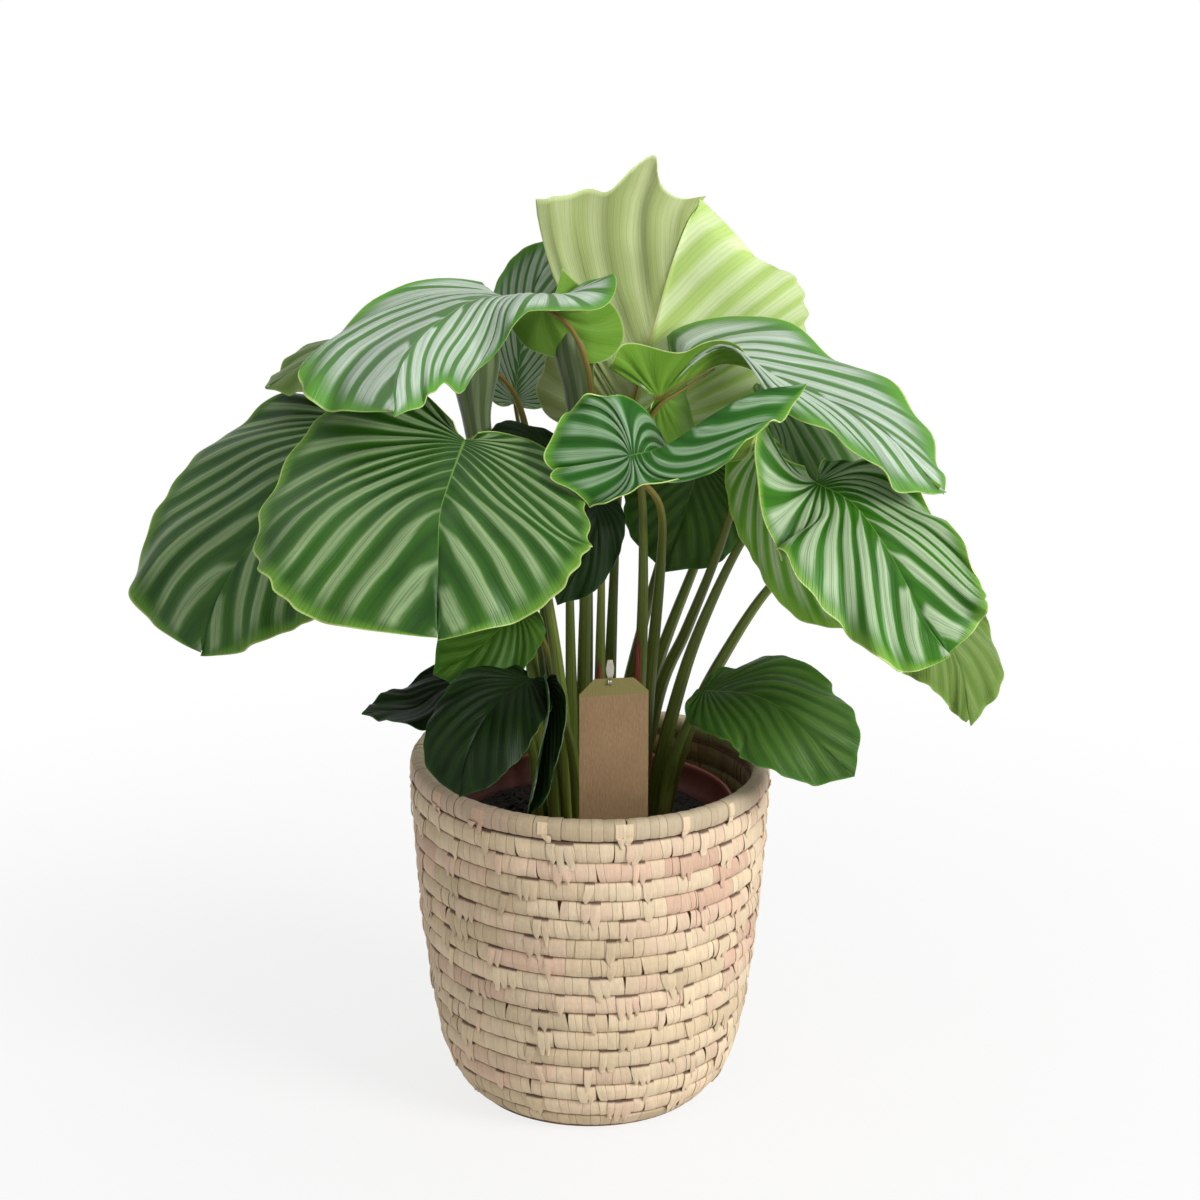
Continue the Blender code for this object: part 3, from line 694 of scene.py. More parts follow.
def makePot():
    p = potBuild
    top, foot, rim, upper, floor = (p[key] for key in ("top", "footRadius", "rimRadius",
                                                       "wallTopRadius", "floor"))
    lip = top - p["rimDrop"]
    wall = p["wall"]
    profile = [(0, floor), (foot - 0.004, floor), (foot - 0.001, floor + 0.001),
               (foot, floor + 0.004), (upper, lip - 0.001), (upper + 0.0008, lip),
               (rim - 0.0012, lip), (rim - 0.0003, lip + 0.0007), (rim, lip + 0.002),
               (rim, top - 0.0020), (rim - 0.0002, top - 0.0008), (rim - 0.0009, top - 0.0001),
               (rim - 0.0016, top), (rim - 0.0026, top - 0.0003), (rim - 0.0032, top - 0.0014),
               (rim - 0.0035, top - 0.0040), (upper - wall + 0.0012, lip + 0.0015),
               (upper - wall, lip), (foot - wall, floor + wall + 0.002),
               (foot - wall - 0.002, floor + wall), (0, floor + wall)]
    addPiece("nursery_pot_shell", turned(profile, p["steps"]), [makePotPlastic()], "nursery_pot",
             "pot_plastic", 35)
    print("nursery pot made")


def makeSoilMatter():
    # moist peat and bark potting mix: nearly black, crumbly, matt, redder where bark shows
    mat, node = newMaterial("moistPottingMix", 0.92)
    spot = node("TexCoord").outputs["Object"]
    grains = node("TexNoise", Vector=spot, Scale=240.0, Detail=6.0, Roughness=0.65)
    lumps = node("TexVoronoi", Vector=spot, Scale=320.0)
    bark = node("TexNoise", Vector=spot, Scale=95.0)
    red = node("MapRange", bark, 0.56, 0.72, 0.0, 0.75)
    colour = node("Mix", red, node("Mix", grains, "#080503", "#1a110b"), "#2f190f")
    return finishSurface(mat, colour, node("Math.ADD", grains, lumps), 0.0012)


def soilHeight(x, y):
    slow, fine, finest = (noise.noise(Vector((x * scale, y * scale, layer)))
                          for scale, layer in ((30, 2.0), (140, 5.0), (330, 9.0)))
    rough = 0.9 * slow + 0.7 * (fine + 0.5 * finest)
    return soilBuild["top"] - 0.001 + soilBuild["roughness"] * rough


def scatterOnSoil(chance, edge):
    radius = edge * math.sqrt(chance.random())
    angle = chance.uniform(0, fullTurn)
    return radius * math.cos(angle), radius * math.sin(angle)


def makeSoil():
    p = potBuild
    edge = p["wallTopRadius"] - p["wall"] - 0.0006
    bottom = p["floor"] + p["wall"] + 0.0003
    rings = soilBuild["rings"]
    profile = [(0, bottom), (p["footRadius"] - p["wall"] - 0.003, bottom), (edge, 0.1955)]
    profile += [(edge * (1 - i / rings), soilBuild["top"] - 0.001) for i in range(rings + 1)]
    bm = turned(profile, soilBuild["steps"])
    for vert in bm.verts:
        if vert.co.z > 0.198:
            vert.co.z = soilHeight(vert.co.x, vert.co.y)
    matter = makeSoilMatter()
    addPiece("potting_mix", bm, [matter], "soil", "potting_soil", 70)
    makeCrumbs(matter, edge)
    print("potting mix made")


def makeCrumbs(matter, edge):
    # bark crumbs and dead root fibres that lie on the soil
    s = soilBuild
    chance = random.Random(3)
    crumbs = bmesh.new()
    for _ in range(s["crumbs"]):
        x, y = scatterOnSoil(chance, edge * 0.97)
        size = chance.uniform(*s["crumbSize"])
        verts = bmesh.ops.create_icosphere(crumbs, subdivisions=1, radius=size)["verts"]
        stretch = (chance.uniform(0.7, 2.0), 1, chance.uniform(0.35, 0.8))
        bmesh.ops.scale(crumbs, vec=stretch, verts=verts)
        for vert in verts:
            vert.co *= chance.uniform(0.85, 1.15)
        turn = Euler((chance.gauss(0, 0.4), chance.gauss(0, 0.4), chance.uniform(0, 6.28)))
        bmesh.ops.rotate(crumbs, cent=(0, 0, 0), matrix=turn.to_matrix(), verts=verts)
        bmesh.ops.translate(crumbs, vec=(x, y, soilHeight(x, y) + size * 0.2), verts=verts)
    for _ in range(s["rootFibres"]):
        x, y = scatterOnSoil(chance, edge * 0.9)
        heading = chance.uniform(0, 6.28)
        points = []
        for _ in range(s["fibrePoints"]):
            heading += chance.gauss(0, 0.5)
            x += s["fibreStep"] * math.cos(heading)
            y += s["fibreStep"] * math.sin(heading)
            if math.hypot(x, y) < edge - 0.002:
                points.append((x, y, soilHeight(x, y) + chance.uniform(0.0006, 0.0020)))
        if len(points) > 2:
            tube(points, s["fibreRadii"], 5, 10, joinTo=crumbs)
    addPiece("bark_crumbs", crumbs, [matter], "soil", "potting_soil", 30)


tagBuild = {
    "left": -0.0075, "right": 0.0405, "foot": 0.2003, "top": 0.3435, "y": -0.0855,
    "thickness": 0.0008,
    "corner": 0.0105,                # chamfer of the top corners, and depth of the folded flap
    "bow": 0.0010,                   # how far the card bends forward at mid height
    "foldSlope": 0.06,               # the fold runs up to the right
    "flapRows": 0.1,                 # share of the mesh rows that the flap takes
}
pegBuild = {
    "x": 0.0138, "bottom": 0.3360, "top": 0.3566,
    "widths": (0.0030, 0.0032, 0.0034, 0.0052, 0.0058, 0.0048, 0.0036),   # bottom to top
    "rounding": 0.00035,
    "ringHeight": 0.3408,            # the spring's wire ring
    "ringRadius": 0.0020,
    "ringWidth": 0.0032,
    "ringTurns": 3,
    "wireRadius": 0.0003,
}


def makeKraftCard():
    # uncoated kraft card: matt brown with flecks and lengthwise fibres; the folded flap gets
    # painted shade, a darker olive
    mat, node = newMaterial("uncoatedKraftCard", 0.85)
    spot = node("TexCoord").outputs["Object"]
    along = node("SeparateXYZ", node("UVMap", uv_map="UVMap")).outputs[0]
    fibre = drawnNoise(node, spot, (900, 900, 260), 4.0)
    cloud = node("TexNoise", Vector=spot, Scale=45.0)
    colour = node("Mix", fibre, "#7e6346", "#9d805d")
    colour = node("Mix.MULTIPLY", 1.0, colour, node("MapRange", cloud, 0.3, 0.7, 0.93, 1.05))
    # damp and handled towards the soil
    damp = node("MapRange", along, 0.0, 0.5, 0.35, 0.0)
    # the flap above the fold, tilted back: painted shade
    flap = node("MapRange", along, 0.913, 0.918)
    colour = paintOver(node, colour, (damp, "#7d5a3e"), (flap, "#7d7444"))
    return finishSurface(mat, colour, fibre, 0.0002)


def makeTag():
    t = tagBuild
    half = (t["right"] - t["left"]) / 2
    middle = (t["right"] + t["left"]) / 2
    flapShare = 1 - t["corner"] / (t["top"] - t["foot"])
    below = 1 - t["flapRows"]

    def upTheCard(u):
        # rows below the fold, then the flap
        if u < below:
            return u / below * flapShare
        return flapShare + (1 - flapShare) * (u - below) / t["flapRows"]

    def place(u, v):
        side = 2 * v - 1
        share = upTheCard(u)
        onFlap = max(0, u - below) / t["flapRows"]
        height = t["foot"] + (t["top"] - t["foot"]) * share
        tilt = t["foldSlope"] * side * half * smoothStep(0.5, flapShare, share)
        tilt *= 1 - 0.55 * onFlap
        y = t["y"] - t["bow"] * math.sin(math.pi * share / flapShare) * (share < flapShare)
        y -= 0.0006 * side * side * (1 - share)
        x = middle + side * (half - t["corner"] * onFlap)
        return Vector((x, y, min(height + tilt, t["top"] + 0.002)))

    bm = sheet(60, 12, place, uvs={"UVMap": lambda u, v: (upTheCard(u), v)})
    addPiece("kraft_tag", bm, [makeKraftCard()], "tag", "kraft_card", 30,
             thickness=t["thickness"], offset=0)
    print("tag made")


def makePegWood():
    # birch, sawn and tumbled: pale, close straight grain, matt
    mat, node = newMaterial("tumbledBirch", 0.65)
    grain = drawnNoise(node, node("TexCoord").outputs["Object"], (1500, 900, 70), 3.0)
    return finishSurface(mat, node("Mix", grain, "#a1875b", "#c8b387"), grain, 0.0001)


def makeSpringSteel():
    # tinned spring wire: a dull grey metal with fine drawing lines
    mat, node = newMaterial("tinnedSpringWire", 0.35, 1.5, metallic=1.0)
    drawn = node("TexNoise", Vector=node("TexCoord").outputs["Object"], Scale=900.0)
    return finishSurface(mat, node("Mix", drawn, "#8f8a80", "#c9c4b8"))


def makePegLegs():
    # two legs seen from their narrow side, with the card's flap held between them
    p = pegBuild
    bm = bmesh.new()
    for side in (-1, 1):
        other = set(bm.verts)
        made = bmesh.ops.create_cube(bm, size=1.0)
        edges = list({edge for vert in made["verts"] for edge in vert.link_edges
                      if abs(edge.verts[0].co.z - edge.verts[1].co.z) > 0.5})
        bmesh.ops.subdivide_edges(bm, edges=edges, cuts=11)
        for vert in set(bm.verts) - other:
            share = vert.co.z + 0.5
            width = stepAlong(p["widths"], share)
            near = 0.00075 + 0.0006 * smoothStep(0.25, 0.4, share) * (1 - smoothStep(0.5, 1, share))
            far = 0.0024 - 0.0008 * smoothStep(0.6, 1, share) - 0.0005 * smoothStep(0.2, 0, share)
            depth = near if vert.co.y < 0 else far
            vert.co = (p["x"] + vert.co.x * width, tagBuild["y"] + side * depth,
                       p["bottom"] + share * (p["top"] - p["bottom"]))
    bmesh.ops.recalc_face_normals(bm, faces=bm.faces)
    rims = [edge for edge in bm.edges if edge.calc_face_angle(0) > math.radians(50)]
    bmesh.ops.bevel(bm, geom=rims, offset=p["rounding"], segments=2, affect="EDGES",
                    profile=0.5, material=-1)
    return bm


def makePeg():
    p = pegBuild
    bm = makePegLegs()
    woodFaces = len(bm.faces)
    # the spring: turns of wire through both legs and round them
    steps = 48
    turns = []
    for k in range(steps + 1):
        angle = fullTurn * p["ringTurns"] * k / steps
        turns.append((p["x"] + p["ringWidth"] * (k / steps - 0.5),
                      tagBuild["y"] + p["ringRadius"] * math.cos(angle),
                      p["ringHeight"] + p["ringRadius"] * math.sin(angle)))
    tube(turns, (p["wireRadius"],), 8, 150, joinTo=bm)
    bm.faces.ensure_lookup_table()
    for face in bm.faces[woodFaces:]:
        face.material_index = 1
    addPiece("tag_peg_clip", bm, [makePegWood(), makeSpringSteel()], "tag_peg", "peg_wood", 40)
    print("peg made")


# Millimetres. Pairs are for the two halves of a blade; a run inside one is spread evenly from the
# stalk to the tip. Where a leaf says nothing, it has the value in leafCommon.
# rib: points along the midrib. face: which way the upper side looks. width: of each half.
# belly: where it is widest, as a share of the rib. lobe: how far it runs back past the stalk.
# full: how broad it stays to the tip, taper: how slim it gets. fold and curl: degrees up from flat
# at the rib, and more by the edge. lobeBend: how far the lobes lift. wave: height, count, start.
# ruffle: the edge's wave. veinBend: how a side vein arches, along the rib and out from it.
# nudges: half, centre and spread along the edge, then the move along the rib, out and up.
# stem: points of its stalk, from the soil up. tint: how brown it turns at the blade and the soil.
leaves = {
    "left_outer": dict(
        look="meadow", width=(85, 106), lobe=(30, 30), full=(0.2, 0.6), taper=(0.2, 0),
        fold=(5, 0), curl=(-20, -25), wave=(5, 4, 0), ruffle=2.6, tint=(0.5, 0.3),
        face=((-0.3, -0.5, 0.8), (-0.45, -0.8, 0.35)),
        rib=((-160, 10, 505), (-200, -25, 475), (-232, -50, 435), (-256, -65, 398),
             (-268, -75, 361)),
        stem=((-36, 4, 0), (-40, 8, 300), (-55, 10, 400), (-100, 16, 478))),
    "front_round": dict(
        look="meadow", width=(103, 126), belly=(0.44, 0.5), lobe=(30, 62), full=(0.2, 0.5),
        fold=((0, 5), 5), curl=((-30, -25), (-32, -20)), wave=(5, 3, 1),
        nudges=((1, 0.14, 0.12, -4, 0, 9),), face=((-0.05, -0.65, 0.75), (0, -0.8, 0.5)),
        rib=((-85, -70, 510), (-95, -105, 490), (-100, -140, 475), (-100, -170, 445),
             (-100, -190, 412)),
        stem=((-16, -22, 0), (-22, -26, 320), (-42, -22, 440), (-68, -40, 502))),
    "upper_left": dict(
        look="silvery", width=(45, 88), belly=(0.45, 0.6), lobe=(82, 85), full=(0, 0.6),
        fold=((75, 40, -40, -40, -30), (-88, -60, -5, 0, 0, 0, 0, 0)),
        curl=((-160, -100, -40, -40, -30), (0, 0, 0, -10)), wave=(6, 3, 0), ruffle=2.6,
        lobeBend=0.6, tint=(1, 0.2),
        nudges=((1, 0.5, 0.14, 0, -12, -6), (1, 0.17, 0.08, 0, -10, 0),
                (1, 0.33, 0.09, 0, -30, 0), (1, 0, 0.2, 0, 0, 24)),
        face=((-0.1, 0, 1), (-0.1, -0.1, 1), (-0.3, -0.4, 0.85), (-0.3, -0.8, 0.5)),
        rib=((-30, 10, 587), (-74, -5, 594), (-105, -35, 583), (-121, -62, 574), (-129, -85, 558),
             (-131, -100, 540)),
        stem=((-6, 10, 0), (-4, 12, 350), (1, 10, 470), (0, 10, 530), (-12, 10, 566))),
    "top_pale": dict(
        look="pale", width=(104, 112), belly=(0.6, 0.72), lobe=(20, 30), full=(0.4, -0.5),
        fold=(8, -8), curl=(0, 0), wave=(3, 3, -1.34), ruffle=1.8, tint=(0.9, 0.2),
        nudges=((1, 0.37, 0.13, 0, -36, 0), (1, 0.7, 0.1, -9, 2, 0), (1, 0.5, 0.07, 0, -6, 0),
                (1, 0.805, 0.03, -6, 0, 0), (1, 0.854, 0.022, 20, 3, 8),
                (1, 0.93, 0.05, -6, -4, 0), (0, 0.92, 0.08, 0, -8, 0)),
        face=((0.1, 0.9, -0.2), (0.1, 0.9, -0.3)),
        rib=((25, 55, 483), (36, 58, 520), (47, 64, 562), (58, 71, 600), (69, 80, 628),
             (78, 88, 640)), stem=((10, 20, 0), (14, 26, 300), (18, 38, 400), (22, 46, 455))),
    "upper_right": dict(
        look="silvery", width=(78, 43), belly=(0.28, 0.35), lobe=(45, 30),
        fold=((-75, -62, 10, 15, 15, 15, 15, 15), (80, 80, 15, -12, -30)), curl=(-10, (-20, -25)),
        wave=(5, 3, 0), ruffle=3, tint=(0.6, 0.3),
        nudges=((0, 0.74, 0.17, -4, -17, 0), (0, 0.18, 0.12, 0, -12, 0),
                (0, 0.36, 0.12, -14, 8, 0), (1, 0.2, 0.12, -4, 34, 0), (1, 0.03, 0.06, 0, 20, 0),
                (1, 0.43, 0.1, 0, -26, 0), (1, 0.33, 0.06, 0, -16, 0)),
        face=((-0.3, 0, 1), (-0.1, 0, 1), (0.2, -0.1, 1), (0.5, -0.2, 0.8)),
        rib=((45, -40, 530), (70, -35, 545), (95, -30, 555), (130, -40, 545), (190, -60, 520),
             (238, -80, 480)), stem=((26, -4, 0), (36, -6, 330), (37, -18, 440), (33, -34, 495))),
    "front_curled": dict(
        look="glossy", width=(56, 36), belly=(0.22, 0.22), lobe=(68, 63),
        fold=((20, 5, -85, -85, -85, -85, -80, -70), (-10, -25, -40)),
        curl=((20, 20, 0, 0, 0, 0, 0, 0), (0, -40)), wave=(6, 3, 0), ruffle=3, lobeBend=0.3,
        tint=(0.9, 0.2), veinBend=(0.08, 0.86),
        nudges=((1, 0.46, 0.13, 0, -12, 0), (0, 0.42, 0.08, 0, -14, 0), (0, 0.2, 0.08, 10, 3, 0),
                (1, 0.16, 0.08, 10, 2, 0), (0, 0, 0.09, -42, -4.6, 0), (1, 0, 0.09, -42, -3, 0)),
        face=((-0.2, -0.8, 0.6), (0, -0.5, 0.9), (0, -0.3, 0.95)),
        rib=((26, -100, 507), (50, -105, 516), (83, -105, 538), (112, -103, 553),
             (139, -100, 556)),
        stem=((34, 10, 0), (42, 8, 300), (50, -2, 400), (48, -40, 455), (28, -78, 490))),
    "right_front": dict(
        look="bright", width=(56, 68), belly=(0.46, 0.36), lobe=(10, 50), full=(0.9, 0.5),
        fold=(10, 0), curl=(-30, -10), wave=(7, 4, 0), ruffle=3.4, tint=(0.35, 0.2),
        nudges=((1, 0.16, 0.1, -4, -15, 60), (1, 0.66, 0.1, 0, -8, 0), (0, 0.52, 0.15, 0, -7, 0),
                (1, 0.82, 0.1, 0, -6, 0)), face=((0.3, -0.6, 0.6), (0.1, -0.9, 0.3)),
        rib=((155, -50, 475), (180, -70, 465), (198, -100, 447), (213, -120, 424),
             (228, -140, 399), (240, -145, 383)),
        stem=((40, 0, 0), (60, 0, 290), (80, 0, 355), (112, -4, 425), (146, -26, 466))),
    "right_behind": dict(
        look="lime", width=(18, 42), lobe=(10, 20), fold=(0, 0), curl=(-30, -30), wave=(5, 3, 0),
        ruffle=2.6, tint=(0.5, 0.4), face=((-0.3, -0.7, 0.5), (-0.3, -0.8, 0.3)),
        rib=((118, -30, 498), (129, -42, 470), (146, -55, 434), (163, -60, 402), (180, -65, 378)),
        stem=((30, 24, 0), (50, 21, 295), (69, 14, 345), (92, 6, 410), (108, -10, 470))),
    "right_middle": dict(
        look="misty", width=(35, 52), lobe=(10, 20), full=(0, 0.6), fold=(0, -12), curl=(-20, -15),
        face=((0.1, -0.5, 0.9), (0.3, -0.6, 0.8)),
        rib=((118, 14, 514), (143, 16, 510), (172, 10, 498), (208, 0, 476)),
        stem=((26, 36, 0), (46, 40, 300), (82, 50, 400), (104, 34, 480))),
    "right_back": dict(
        look="olive", width=(42, 42), lobe=(10, 20), fold=(0, 0), wave=(5, 3, 0), ruffle=2.6,
        tint=(0.1, 0.5), nudges=((1, 0.76, 0.2, 0, -12, 0), (1, 1, 0.08, -4, 6, 0)),
        face=((0.4, -0.6, 0.4), (0.3, -0.9, 0.1)),
        rib=((228, 60, 370), (250, 60, 340), (270, 55, 305), (279, 50, 264)),
        stem=((50, 6, 0), (70, 6, 270), (95, 10, 325), (135, 20, 382), (185, 48, 400))),
    "low_right": dict(
        look="dusk", width=(50, 45), lobe=(10, 15), fold=(5, -5), curl=(-15, -30), tint=(0.1, 1),
        face=((0, -0.3, 0.95), (0.2, -0.5, 0.7)),
        rib=((80, -30, 315), (110, -50, 320), (130, -60, 315), (145, -70, 305), (180, -85, 275)),
        stem=((50, -20, 0), (56, -24, 245), (66, -27, 280))),
    "low_front_left": dict(
        look="shade", width=(38, 36), full=(0.2, 0.4), tint=(0.2, 0.3),
        face=((-0.2, -0.6, 0.75), (-0.2, -0.9, 0.3)),
        rib=((-42, -62, 335), (-62, -90, 330), (-76, -110, 317), (-85, -122, 298),
             (-89, -127, 277)), stem=((-24, -36, 0), (-27, -40, 270), (-33, -48, 310))),
    "low_left": dict(
        look="shade", width=(30, 30), tint=(0.3, 0.3), face=((-0.1, -0.2, 0.95),),
        rib=((-75, -20, 325), (-105, -30, 315), (-125, -40, 305), (-155, -50, 305)),
        stem=((-34, -14, 0), (-42, -16, 270), (-58, -18, 305))),
    "under_front": dict(
        look="dusk", width=(35, 35), fold=(5, 5), tint=(0.7, 0.2),
        face=((-0.2, -0.7, 0.6), (-0.2, -0.8, 0.5)),
        rib=((-50, -20, 375), (-65, -30, 360), (-85, -40, 345), (-105, -45, 335)),
        stem=((-20, 4, 0), (-24, 0, 300), (-36, -12, 352))),
    "low_folded": dict(
        look="shade", width=(22, 22), lobe=(5, 5), fold=(72, 72), curl=(0, 0), wave=(2, 3, 0),
        tint=(0.2, 0.3), face=((0.3, -0.8, 0.4), (0.3, -0.8, 0.2)),
        rib=((-31, -68, 335), (-29, -86, 320), (-34, -96, 295), (-43, -104, 252)),
        stem=((-6, -40, 0), (-12, -46, 270), (-24, -58, 318))),
    "inner_front": dict(
        look="shade", width=(23, 27), tint=(0.6, 0.4), face=((0.1, -0.8, 0.5), (0.1, -0.8, 0.3)),
        rib=((5, -20, 455), (3, -35, 440), (-6, -45, 417), (-20, -55, 392)),
        stem=((6, -12, 0), (7, -12, 330), (8, -11, 420))),
    "inner_back": dict(
        look="dusk", width=(45, 45), face=((0, -0.9, 0.3), (0, -0.9, 0.2)),
        rib=((80, 25, 470), (72, 28, 445), (65, 28, 420), (55, 27, 390)),
        stem=((12, 46, 0), (30, 50, 300), (60, 48, 420), (78, 36, 462))),
    "back_upright": dict(
        look="silvery", width=(30, 41), fold=(5, 5), curl=(-10, -10),
        face=((0, -0.8, 0.5), (0.1, -0.7, 0.6)),
        rib=((-55, 100, 490), (-50, 115, 530), (-40, 130, 570), (-25, 138, 600)),
        stem=((-12, 40, 0), (-30, 60, 320), (-46, 90, 440))),
    "back_left": dict(
        look="olive", width=(50, 50), fold=(-5, -5), tint=(0.9, 0.3),
        face=((-0.1, -0.1, 1), (-0.3, -0.2, 0.9)),
        rib=((-100, 60, 540), (-150, 60, 545), (-190, 50, 540), (-225, 40, 520)),
        stem=((-22, 28, 0), (-36, 36, 400), (-45, 50, 480), (-62, 55, 520))),
    "inner_left": dict(
        look="shade", width=(24, 22), lobe=(8, 8), fold=(15, 5), wave=(2, 3, 0), tint=(0.4, 0.3),
        face=((0, -0.35, 0.9), (-0.2, -0.4, 0.85)),
        rib=((-20, 10, 468), (-45, 10, 487), (-72, 6, 490)),
        stem=((-12, -4, 0), (-14, -2, 330), (-16, 6, 430))),
}


leafBuild = {
    "thickness": 0.0008,
    "bigGrid": (128, 17),            # rows along, columns from the rib to one edge
    "smallGrid": (72, 10),
    "bigWidth": 0.055,               # a leaf with a wider half than this has the big grid
    "quilting": 0.0009,              # how far the blade swells between its side veins
    "ribGroove": 0.0014,
    "unevenness": 0.0022,
    "roundness": 0.92,               # of the edge's outline: lower is squarer
    "scallop": 0.016,                # scallops of the edge, as a share of the width
    "scallops": 13,
    "ruffles": 6.5,
    "veinCrowding": 6,               # higher: more side veins leave the rib near its foot
    "halfShift": 0.37,               # how far the far half's stripes are set off, in stripes
    "tip": 0.006,                    # length of the point at the tip
}
# what a leaf has where it says nothing else: see the notes above the leaves
leafCommon = {"belly": (0.46, 0.46), "lobe": (10, 10), "full": (0, 0), "taper": (0, 0),
              "fold": (10, 10), "curl": (-20, -20), "wave": (3, 3, 0), "ruffle": 1.6,
              "lobeBend": 0, "veinBend": (0.46, 0.62), "nudges": (), "tint": (0.3, 0.2)}


def readLeaf(leaf):
    # a leaf with all its values, in metres
    leaf = {**leafCommon, **leaf}
    for key in ("rib", "width", "lobe", "ruffle", "stem"):
        if key in leaf:
            leaf[key] = inMetres(leaf[key])
    high, count, start = leaf["wave"]
    leaf["wave"] = (high / 1000, count, start)
    leaf["nudges"] = [nudge[:3] + inMetres(nudge[3:]) for nudge in leaf["nudges"]]
    return leaf


def ribFrame(leaf, lengths, path, a):
    # point, up and right on the rib; before the stalk the blade may bend up or down
    length = lengths[-1]
    inside = min(max(a, 0), length)
    point = pointAt(lengths, path, inside)
    step = length * 0.03
    forward = pointAt(lengths, path, inside + step) - pointAt(lengths, path, inside - step)
    forward.normalize()
    up = Vector([stepAlong(side, inside / length) for side in zip(*leaf["face"])])
    up = (up - forward * up.dot(forward)).normalized()
    right = forward.cross(up)
    bend = leaf["lobeBend"] / 0.06
    if a < 0 and bend:
        angle = -a * bend
        point = point - forward * math.sin(angle) / bend + up * (1 - math.cos(angle)) / bend
        up = up * math.cos(angle) + forward * math.sin(angle)
    elif a < 0:
        point = point + forward * a
    if a > length:
        point = point + forward * (a - length)
    return point, up, right


def bladePoint(leaf, lengths, path, u, across):
    # u runs from the stalk to the tip along the edge; across runs from one edge to the other
    half = 0 if across < 0 else 1
    v = abs(across)
    length = lengths[-1]
    middle, width, lobe, full, taper, fold, curl = (
        leaf[key][half] for key in ("belly", "width", "lobe", "full", "taper", "fold", "curl"))
    middle *= length
    # the edge: how far along the rib it lies, and how far out
    angle = math.pi * (0.02 + 0.98 * u)
    ahead = -math.cos(angle)
    outward = max(math.sin(angle), 0)
    if ahead < 0:
        back = math.sin(min(angle / 0.8, 1) * math.pi / 2)
        edgeA = middle + (middle + lobe * back) * ahead
        edgeB = width * outward ** leafBuild["roundness"]
    else:
        # a full blade stays broad towards its tip
        edgeA = middle + (length - middle) * ahead * (1 + 0.35 * full * outward ** 2)
        edgeB = width * outward ** (leafBuild["roundness"] - 0.4 * full * ahead)
    edgeA += leafBuild["tip"] * (1 - full) * max(0, 1 - (math.pi - angle) / 0.35) ** 2
    edgeB *= 1 - taper * max(2 * angle / math.pi - 1, 0)
    turn = fullTurn * leafBuild["scallops"] * u + 2.3 * half
    edgeB *= 1 + leafBuild["scallop"] * math.sin(turn) * outward
    lift = 0.0
    for side, centre, spread, moveA, moveB, moveUp in leaf["nudges"]:
        if side == half:
            share = math.exp(-((u - centre) / spread) ** 2)
            edgeA += moveA * share
            edgeB += moveB * share
            lift += moveUp * share
    # the side vein that runs out to it
    startA = length * (0.05 * u + 0.95 * u ** leafBuild["veinCrowding"])
    bendA, bendB = leaf["veinBend"]
    a = startA + (edgeA - startA) * (2 * bendA * v * (1 - v) + v * v)
    b = edgeB * (2 * bendB * v * (1 - v) + v * v)
    point, up, right = ribFrame(leaf, lengths, path, a)
    t = (a + 0.15 * length) / (1.15 * length)
    fold = math.radians(stepAlong(fold, t))
    curl = math.radians(stepAlong(curl, t)) / width
    if abs(curl) < 1e-4:
        out = b * math.cos(fold)
        rise = b * math.sin(fold)
    else:
        out = (math.sin(fold + curl * b) - math.sin(fold)) / curl
        rise = (math.cos(fold) - math.cos(fold + curl * b)) / curl
    high, count, start = leaf["wave"]
    rise += (high * math.sin(fullTurn * count * u + start + 0.9 * half) * v * v
             * min(1, 4 * (1 - u) + 0.1))
    turn = fullTurn * leafBuild["ruffles"] * u + 1.5 * math.sin(7 * u + start) + 2.3 * half
    ruffle = leaf["ruffle"] * min(1, width / 0.05)
    rise += ruffle * math.sin(turn) * v ** 4 * min(1, 6 * (1 - u) + 0.15) + lift * v * v
    return point + right * (2 * half - 1) * out + up * rise


def relief(leaf, place, u, across, stripes):
    # quilting between side veins, the rib's groove and slow unevenness
    v = abs(across)
    turn = u * stripes + (leafBuild["halfShift"] if across > 0 else 0)
    swell = -math.cos(fullTurn * turn) * smoothStep(0.03, 0.3, v) * (1 - v ** 4)
    height = (leafBuild["quilting"] * swell * smoothStep(0, 0.12, u)
              - leafBuild["ribGroove"] * math.exp(-(v / 0.045) ** 2)
              + leafBuild["unevenness"] * noise.noise(place * 22))
    return height * min(1, leaf["width"][0] / 0.08)


def makeBlade(name, node, leaf, mats, grid, thickness, slot, stripes=11):
    lengths, path = smoothPath(leaf["rib"])
    rows, columns = grid
    bm = sheet(rows, 2 * columns, lambda u, v: bladePoint(leaf, lengths, path, u, 2 * v - 1))
    # upper side out, whichever way the grid was bent
    point, up, _ = ribFrame(leaf, lengths, path, lengths[-1] * 0.4)
    bm.normal_update()
    near = min(bm.faces, key=lambda face: (face.calc_center_median() - point).length)
    if near.normal.dot(up) < 0:
        bmesh.ops.reverse_faces(bm, faces=bm.faces)
        bm.normal_update()
    layer = bm.loops.layers.uv["UVMap"]
    moves = {}
    for vert in bm.verts:
        u, v = vert.link_loops[0][layer].uv
        moves[vert] = vert.normal * relief(leaf, vert.co, u, 2 * v - 1, stripes)
    for vert, move in moves.items():
        vert.co += move
    addPiece(name, bm, mats, node, slot, 50, thickness=thickness, offset=0, material_offset=1,
             material_offset_rim=2)


